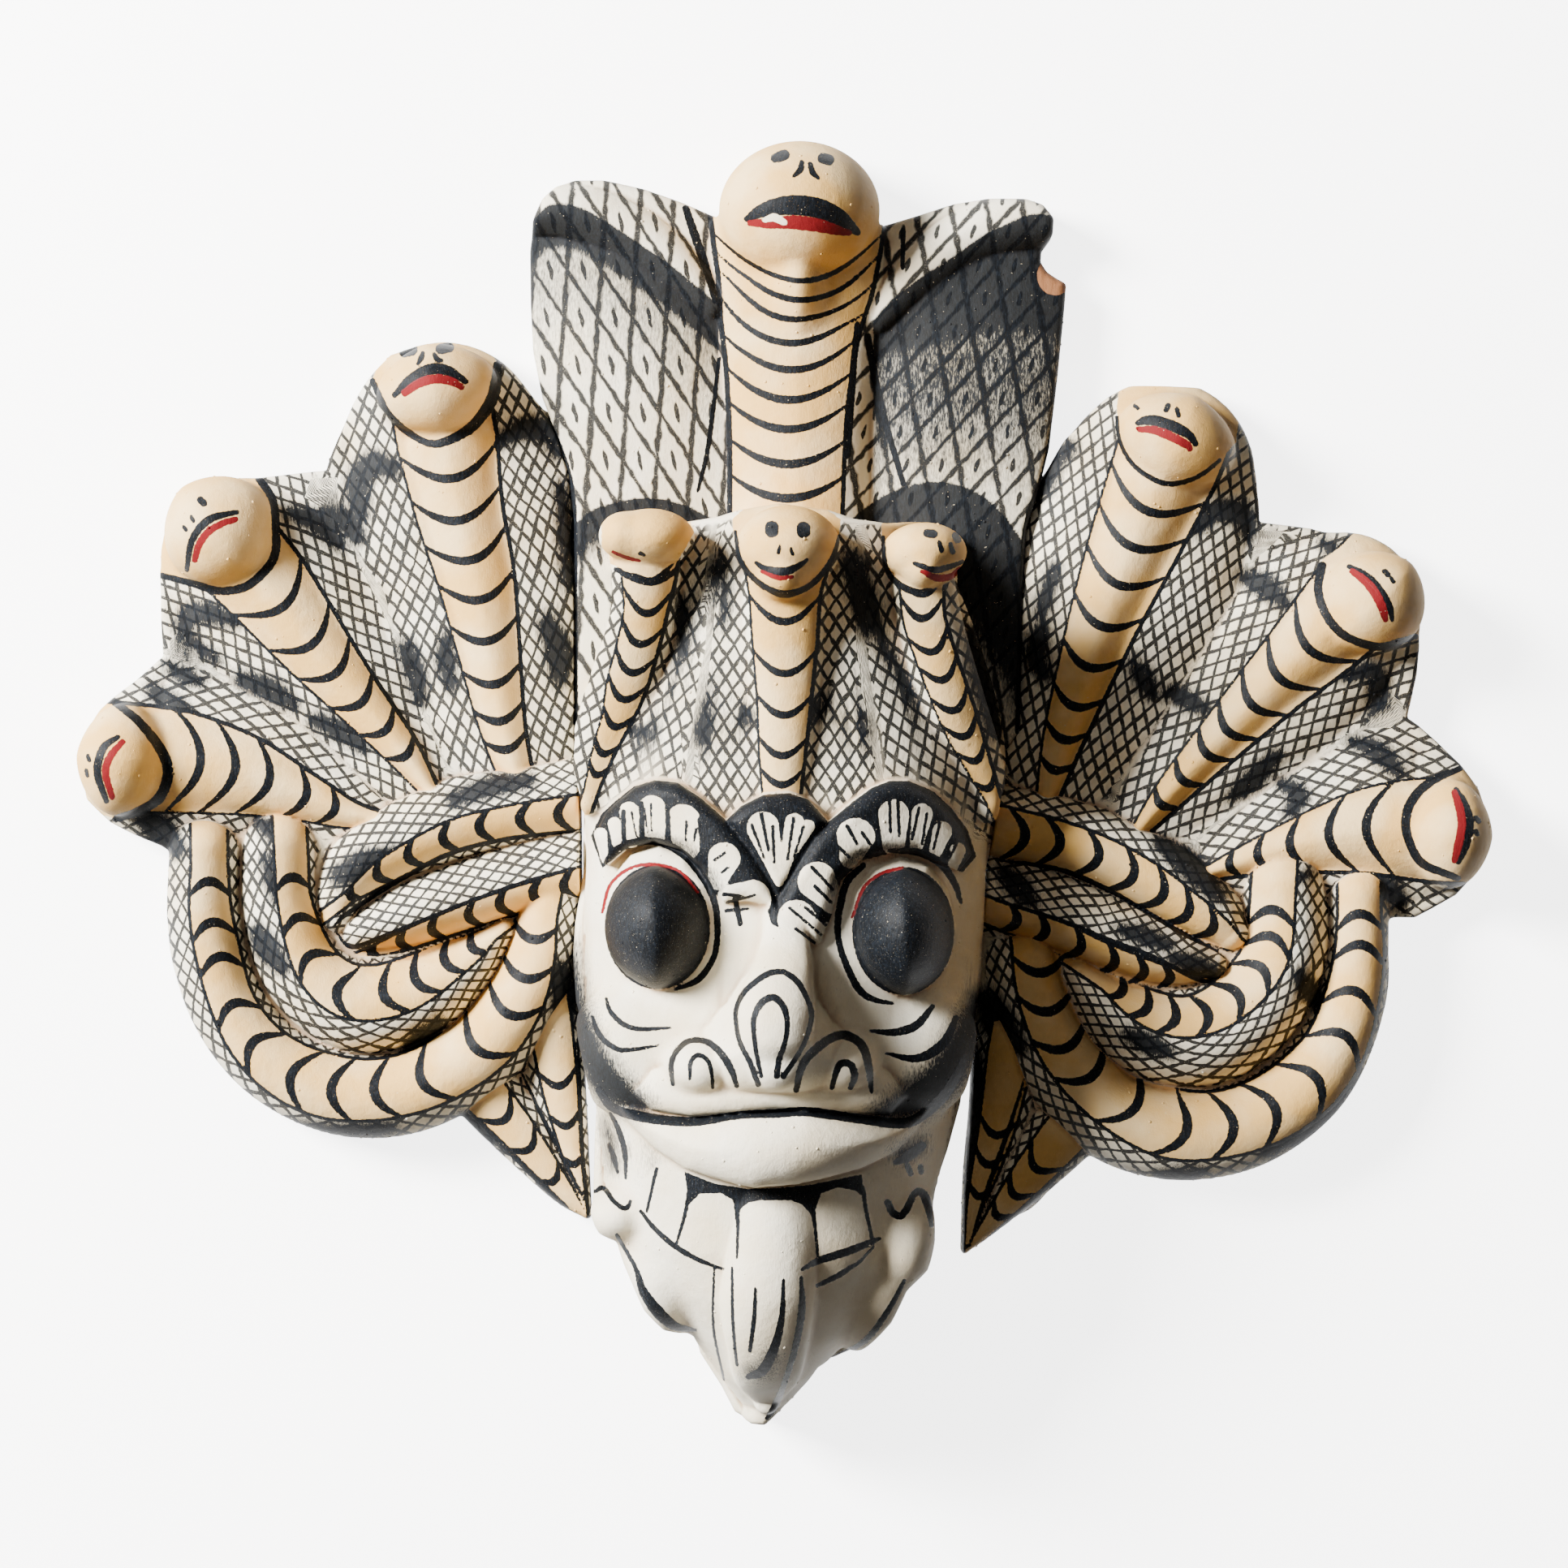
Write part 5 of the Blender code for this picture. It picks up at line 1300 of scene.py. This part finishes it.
def painted_wood(name, colours, leaf_marks=False, fine=1.0):
    """Matt distemper on light wood, brushed by hand.

    The eye gets an ivory ground darkened in the hollows by painted shade and old dust, tan bellies, blue-black
    strokes with rough edges, a scale lattice that thins and breaks, half dry smudges and painted shade in
    the same dark colours, and bare brown wood at the chips.
    """
    material, shader, w = new_material(name, 0.64, 0.09)
    place = w.add("ShaderNodeTexCoord").outputs["Object"]
    coarse = w.noise(place, 60.0, 3.0)
    edge = w.noise(place, 1100.0, 3.0, 0.6)
    grit = w.noise(place, 3200.0, 2.0, 0.6)
    stretched = w.add("ShaderNodeMapping", {"Vector": place, "Scale": (1.0, 0.22, 1.0),
                                            "Rotation": (0.0, 0.0, 0.5)}).outputs[0]
    hairs = w.noise(stretched, 2600.0, 3.0, 0.7)
    ragged = w.math("MULTIPLY", w.math("SUBTRACT", edge, 0.5), 0.55)

    def painted(layer, soft=0.07):
        return w.ramp(w.math("ADD", w.layer(layer), ragged), -soft, soft)

    # ivory ground, warmer in patches, and darker in the hollows with painted shade and old dust
    ground = w.mix(w.ramp(coarse, 0.35, 0.7), (*colours.ivory, 1), (*colours.ivory_warm, 1))
    valley = w.ramp(w.layer("valley"), 0.08, 0.6)
    ground = w.mix(w.math("MULTIPLY", valley, 0.7), ground, (*colours.dust_and_shade, 1))
    belly = w.mix(w.ramp(coarse, 0.4, 0.65), (*colours.tan, 1), (*colours.tan_pale, 1))
    # the bellies too: painted shade and old dust in the hollows
    belly = w.mix(w.math("MULTIPLY", valley, 0.65), belly, (*colours.tan_dust_and_shade, 1))
    ink = w.mix(w.ramp(hairs, 0.45, 0.8), (*colours.ink, 1), (*colours.ink_dry, 1))

    # smudges rubbed over the ground, streaky where they are thin, and the painted shade under the crest's arcs in the
    # same dark colours
    rubbed = w.math("ADD", w.math("MULTIPLY", w.layer("smudge_and_shade"), 1.15), w.math("MULTIPLY", w.math("SUBTRACT", hairs, 0.5), 1.3))
    smudge = w.math("MULTIPLY", w.ramp(rubbed, 0.16, 0.85), 0.985)
    colour = w.mix(smudge, ground, w.mix(w.ramp(hairs, 0.4, 0.75), (*colours.smudge, 1), (*colours.smudge_pale, 1)))

    # the lattice of scales
    width = w.ramp(w.noise(place, 260.0, 1.0), 0.3, 0.7, 0.1 * fine, 0.19 * fine)
    wobble = w.math("MULTIPLY", w.math("SUBTRACT", w.noise(place, 420.0, 1.0), 0.5), 0.13)
    lines = []
    cell = []
    for name_uv in ("scale_u", "scale_v"):
        share = w.math("FRACT", w.math("ADD", w.layer(name_uv), wobble))
        off = w.math("SUBTRACT", 0.5, w.math("ABSOLUTE", w.math("SUBTRACT", share, 0.5)))
        lines.append(w.ramp(w.math("SUBTRACT", off, width), -0.03, 0.03, 1.0, 0.0))
        cell.append(w.math("SUBTRACT", share, 0.5))
    lattice = w.math("MAXIMUM", *lines)
    if leaf_marks:
        across = w.math("ADD", w.math("MULTIPLY", cell[0], 9.4), w.math("MULTIPLY", cell[1], 5.2))
        tall = w.math("MULTIPLY", w.math("SUBTRACT", cell[0], cell[1]), 4.4)
        leaf = w.math("ADD", w.math("MULTIPLY", across, across), w.math("MULTIPLY", tall, tall))
        lattice = w.math("MAXIMUM", lattice, w.ramp(leaf, 0.75, 1.2, 1.0, 0.0))
    lattice = w.math("MULTIPLY", lattice, w.layer("lattice"))
    lattice = w.math("MULTIPLY", lattice, w.ramp(grit, 0.25, 0.42, 0.72, 0.97))
    colour = w.mix(lattice, colour, ink)

    colour = w.mix(painted("tan"), colour, belly)
    strokes = w.math("MULTIPLY", painted("ink"), w.ramp(grit, 0.22, 0.36, 0.8, 1.0))
    colour = w.mix(strokes, colour, ink)
    colour = w.mix(painted("red"), colour, (*colours.red, 1))

    # flecks of dust and small losses
    flecks = w.ramp(w.noise(place, 1700.0, 1.0), 0.765, 0.79)
    colour = w.mix(w.math("MULTIPLY", flecks, 0.5), colour, (*colours.ivory_warm, 1))
    grain = w.add("ShaderNodeMapping", {"Vector": place, "Scale": (1.0, 0.06, 1.0)}).outputs[0]
    wood = w.mix(w.noise(grain, 900.0, 3.0), (*colours.wood, 1), (*colours.wood_dark, 1))
    bare = w.math("ADD", w.layer("bare"), ragged)
    colour = w.mix(w.ramp(bare, 0.4, 0.6), colour, wood)
    w.tree.links.new(colour, shader.inputs["Base Color"])

    # brush marks and grit in the paint, and the thickness of the strokes
    relief = w.math("ADD", w.math("MULTIPLY", hairs, 0.5), w.math("MULTIPLY", edge, 0.6))
    relief = w.math("ADD", relief, w.math("MULTIPLY", w.noise(place, 330.0, 1.0), 1.2))
    relief = w.math("ADD", relief, w.math("MULTIPLY", strokes, 0.25))
    bump = w.add("ShaderNodeBump", {"Height": relief, "Strength": 0.45, "Distance": 0.00035})
    w.tree.links.new(bump.outputs[0], shader.inputs["Normal"])
    w.tree.links.new(w.ramp(strokes, 0.0, 1.0, 0.64, 0.52), shader.inputs["Roughness"])
    return material


def lump_tree(name):
    """Geometry nodes: small round lumps of paint scattered over a surface."""
    tree = bpy.data.node_groups.new(name, "GeometryNodeTree")
    for label, kind in (("Surface", "NodeSocketGeometry"), ("Lumps per square metre", "NodeSocketFloat"),
                        ("Smallest", "NodeSocketFloat"), ("Largest", "NodeSocketFloat"),
                        ("Seed", "NodeSocketInt"), ("Paint", "NodeSocketMaterial")):
        tree.interface.new_socket(label, in_out="INPUT", socket_type=kind)
    tree.interface.new_socket("Lumps", in_out="OUTPUT", socket_type="NodeSocketGeometry")
    w = NodeWriter(tree)
    given = w.add("NodeGroupInput").outputs
    bare = w.add("GeometryNodeInputNamedAttribute", {"Name": "bare"}, data_type="FLOAT").outputs[0]
    front = w.add("FunctionNodeCompare", {"A": bare, "B": 0.05}, data_type="FLOAT", operation="LESS_THAN").outputs[0]
    spread = w.add("GeometryNodeDistributePointsOnFaces",
                   {"Mesh": given["Surface"], "Selection": front, "Density": given["Lumps per square metre"],
                    "Seed": given["Seed"]})
    ball = w.add("GeometryNodeMeshIcoSphere", {"Radius": 1.0, "Subdivisions": 2}).outputs[0]
    smooth = w.add("GeometryNodeSetShadeSmooth", {"Geometry": ball}).outputs[0]
    size = w.add("FunctionNodeRandomValue", data_type="FLOAT")
    tree.links.new(given["Smallest"], size.inputs[2])
    tree.links.new(given["Largest"], size.inputs[3])
    tree.links.new(given["Seed"], size.inputs["Seed"])
    flat = w.add("ShaderNodeCombineXYZ", {"X": 1.0, "Y": 1.0, "Z": 0.55}).outputs[0]
    scale = w.add("ShaderNodeVectorMath", {0: flat, "Scale": size.outputs[1]}, operation="SCALE").outputs[0]
    lumps = w.add("GeometryNodeInstanceOnPoints",
                  {"Points": spread.outputs["Points"], "Instance": smooth, "Rotation": spread.outputs["Rotation"],
                   "Scale": scale}).outputs[0]
    real = w.add("GeometryNodeRealizeInstances", {"Geometry": lumps}).outputs[0]
    done = w.add("GeometryNodeSetMaterial", {"Geometry": real, "Material": given["Paint"]}).outputs[0]
    tree.links.new(done, w.add("NodeGroupOutput").inputs[0])
    return tree


def add_lumps(carving, tree, sizes, seed):
    """Bake the paint lumps of one piece into a mesh of their own."""
    name = carving.name.replace("carving", "paint_lumps")
    thing = bpy.data.objects.new(name, carving.data)
    bpy.context.scene.collection.objects.link(thing)
    modifier = thing.modifiers.new("lumps", "NODES")
    modifier.node_group = tree
    values = {"Lumps per square metre": sizes.lumps, "Smallest": sizes.lump_low / 1000,
              "Largest": sizes.lump_high / 1000, "Seed": seed, "Paint": carving.data.materials[0]}
    for item in tree.interface.items_tree:
        if item.in_out == "INPUT" and item.name in values:
            modifier[item.identifier] = values[item.name]
    mesh = baked(thing)
    mesh.name = name
    thing.modifiers.clear()
    thing.data = mesh
    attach(thing, "root")
    return thing


def add_piece(context, name, node, field, painter, material):
    """Carve one piece, paint it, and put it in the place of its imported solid."""
    sizes = context.scene.naga_sizes
    spacing = sizes.step
    low, high = ([value * 1000 for value in corner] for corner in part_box(node))
    thing = make_mesh(name, field, low, high, spacing)
    thing.data.shade_smooth()
    paint = Paint(thing.data)
    painter(paint)
    paint.store(thing.data)
    thin(thing, paint, sizes.triangles)
    thing.data.materials.append(material)
    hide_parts(node)
    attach(thing, "root")
    return thing


class NagaSizes(bpy.types.PropertyGroup):
    """Sizes of the dressing, in millimetres."""
    step: bpy.props.FloatProperty(name="Mesh step", description="Spacing of the carved surface's points",
                                  default=0.55, min=0.3, max=3.0)
    quick_step: bpy.props.FloatProperty(name="Quick mesh step", description="Spacing used for a quick look",
                                        default=1.0, min=0.3, max=3.0)
    triangles: bpy.props.IntProperty(name="Triangles", description="Most triangles that a piece keeps",
                                     default=190000, min=10000)
    lumps: bpy.props.FloatProperty(name="Paint lumps", description="Lumps of paint on a square metre",
                                   default=9000.0, min=0.0)
    lump_low: bpy.props.FloatProperty(name="Smallest lump", description="Radius of the smallest lump",
                                      default=0.14, min=0.05, max=1.0)
    lump_high: bpy.props.FloatProperty(name="Largest lump", description="Radius of the largest lump",
                                       default=0.42, min=0.05, max=1.0)


def colour_property(name, description, code):
    """A colour with its name, its meaning and its default."""
    return bpy.props.FloatVectorProperty(name=name, description=description, subtype="COLOR", size=3,
                                         min=0.0, max=1.0, default=linear(code))


class NagaColours(bpy.types.PropertyGroup):
    """Colours of the paint and the wood."""
    ivory: colour_property("Ivory", "Ground of the face and the scales", "F3ECD8")
    ivory_warm: colour_property("Warm ivory", "The ground where it has yellowed", "E6D7B8")
    # painted shade and old dust, laid in the hollows
    dust_and_shade: colour_property("Dust and shade", "Old dust and painted shade in the hollows", "9A744C")
    tan: colour_property("Tan", "Bellies and heads of the snakes", "DDB066")
    tan_pale: colour_property("Pale tan", "The bellies where the paint is thin", "E9C891")
    # the bellies with painted shade and old dust in the hollows
    tan_dust_and_shade: colour_property("Deep tan", "The bellies in the hollows", "A8743F")
    ink: colour_property("Blue-black", "Strokes and lattice", "0B0D10")
    ink_dry: colour_property("Dry blue-black", "Strokes where the brush ran dry", "20262E")
    # also the colour of the painted shade on the crest
    smudge: colour_property("Smudge", "Half dry dark patches, and painted shade on the crest", "0E1217")
    smudge_pale: colour_property("Pale smudge", "The patches where they are thin", "1B2129")
    red: colour_property("Red", "Mouths and the rims of the eyes", "70161A")
    wood: colour_property("Wood", "Bare wood at chips and behind", "B07B55")
    wood_dark: colour_property("Dark wood", "Grain of the bare wood", "8C5C3C")
    floor: colour_property("Floor", "The plain ground of the studio", "FFFFFF")


def painted_material(context, name, leaf_marks=False, fine=1.0):
    """The material of that name, made when it is first asked for."""
    known = bpy.data.materials.get(name)
    return known or painted_wood(name, context.scene.naga_colours, leaf_marks, fine)


class NAGA_OT_crest(bpy.types.Operator):
    """Carve and paint the crest with the big cobra"""
    bl_idname = "naga.crest"
    bl_label = "Crest"

    def execute(self, context):
        paint = painted_material(context, "distemper with leaf marks on light wood", True, 0.62)
        add_piece(context, "crest_carving", "crest", crest_field(), paint_crest, paint)
        return {"FINISHED"}


class NAGA_OT_face(bpy.types.Operator):
    """Carve and paint the face with its three small cobras"""
    bl_idname = "naga.face"
    bl_label = "Face"

    def execute(self, context):
        paint = painted_material(context, "distemper on light wood")
        add_piece(context, "face_carving", "face", face_field(), paint_face, paint)
        return {"FINISHED"}


class NAGA_OT_wings(bpy.types.Operator):
    """Carve and paint the two wings of coiled cobras"""
    bl_idname = "naga.wings"
    bl_label = "Wings"

    def execute(self, context):
        paint = painted_material(context, "distemper on light wood")
        for side in WINGS:
            add_piece(context, f"wing_{side}_carving", f"wing_{side}", wing_field(side),
                      functools.partial(paint_wing, side=side), paint)
        return {"FINISHED"}


class NAGA_OT_lumps(bpy.types.Operator):
    """Scatter small lumps of paint over the carved pieces"""
    bl_idname = "naga.lumps"
    bl_label = "Paint lumps"

    def execute(self, context):
        tree = lump_tree("paint lumps")
        carvings = [thing for thing in context.scene.objects if thing.name.endswith("_carving")]
        for seed, carving in enumerate(carvings):
            add_lumps(carving, tree, context.scene.naga_sizes, seed + 3)
        return {"FINISHED"}


class NAGA_OT_stage(bpy.types.Operator):
    """Set the pale floor, the soft studio light and the camera"""
    bl_idname = "naga.stage"
    bl_label = "Stage"

    def execute(self, context):
        bpy.ops.mesh.primitive_plane_add(size=6, location=(0, 0, -0.0005))
        floor = context.object
        floor.name = "floor"
        paper, shader, _ = new_material("plain pale floor", 0.9, 0.1)
        shader.inputs["Base Color"].default_value = (*context.scene.naga_colours.floor, 1)
        shader.inputs["Emission Color"].default_value = (*context.scene.naga_colours.floor, 1)
        shader.inputs["Emission Strength"].default_value = FLOOR_GLOW
        floor.data.materials.append(paper)
        floor.visible_diffuse = False      # the white floor throws no light back, so the right sides stay dark
        camera = bpy.data.objects.new("camera", bpy.data.cameras.new("camera"))
        context.scene.collection.objects.link(camera)
        camera.location = (VIEW_FOOT[0] / 1000, VIEW_FOOT[1] / 1000, CAMERA_HEIGHT / 1000)
        camera.rotation_euler = (0, 0, ROLL)
        camera.data.angle = 2 * math.atan(VIEW_MIDDLE * PIXEL / CAMERA_HEIGHT)
        context.scene.camera = camera
        for name, place, energy, size, tint in LAMPS:
            lamp = bpy.data.lights.new(name, "AREA")
            lamp.energy = energy
            lamp.size = size
            lamp.color = tint
            thing = bpy.data.objects.new(name, lamp)
            context.scene.collection.objects.link(thing)
            thing.location = place
            thing.rotation_euler = (-thing.location).to_track_quat("-Z", "Y").to_euler()
        world = bpy.data.worlds.new("studio")
        world.use_nodes = True
        world.node_tree.nodes["Background"].inputs[0].default_value = (*WORLD_TINT, 1)
        world.node_tree.nodes["Background"].inputs[1].default_value = WORLD_LIGHT
        context.scene.world = world
        return {"FINISHED"}


# Lamps: name, place in metres, watts, size in metres, tint
LAMPS = [
    ("key", (-1.1, 0.5, 0.78), 128.0, 0.5, (1.0, 0.985, 0.96)),
    ("fill", (-0.4, 0.4, 1.5), 3.0, 1.2, (1.0, 0.98, 0.95)),
]
WORLD_TINT = (1.0, 0.82, 0.64)
WORLD_LIGHT = 0.05
FLOOR_GLOW = 4.5


class NAGA_PT_panel(bpy.types.Panel):
    """The mask's sizes, colours and steps"""
    bl_label = "Naga mask"
    bl_idname = "NAGA_PT_panel"
    bl_space_type = "VIEW_3D"
    bl_region_type = "UI"
    bl_category = "Naga mask"

    def draw(self, context):
        for group in (context.scene.naga_sizes, context.scene.naga_colours):
            box = self.layout.box()
            for name in group.bl_rna.properties.keys():
                if name not in ("rna_type", "name"):
                    box.prop(group, name)
        for step in STEPS:
            self.layout.operator(step.bl_idname)


STEPS = (NAGA_OT_crest, NAGA_OT_face, NAGA_OT_wings, NAGA_OT_lumps, NAGA_OT_stage)
CLASSES = (NagaSizes, NagaColours, *STEPS, NAGA_PT_panel)


def register():
    """Make the operators, the sidebar panel and its values known."""
    for each in CLASSES:
        bpy.utils.register_class(each)
    bpy.types.Scene.naga_sizes = bpy.props.PointerProperty(type=NagaSizes)
    bpy.types.Scene.naga_colours = bpy.props.PointerProperty(type=NagaColours)


def unregister():
    """Take them away again."""
    del bpy.types.Scene.naga_colours
    del bpy.types.Scene.naga_sizes
    for each in reversed(CLASSES):
        bpy.utils.unregister_class(each)


def main():
    register()
    bpy.ops.naga.crest()
    bpy.ops.naga.face()
    bpy.ops.naga.wings()
    bpy.ops.naga.lumps()
    bpy.ops.naga.stage()


if __name__ == "__main__":
    main()
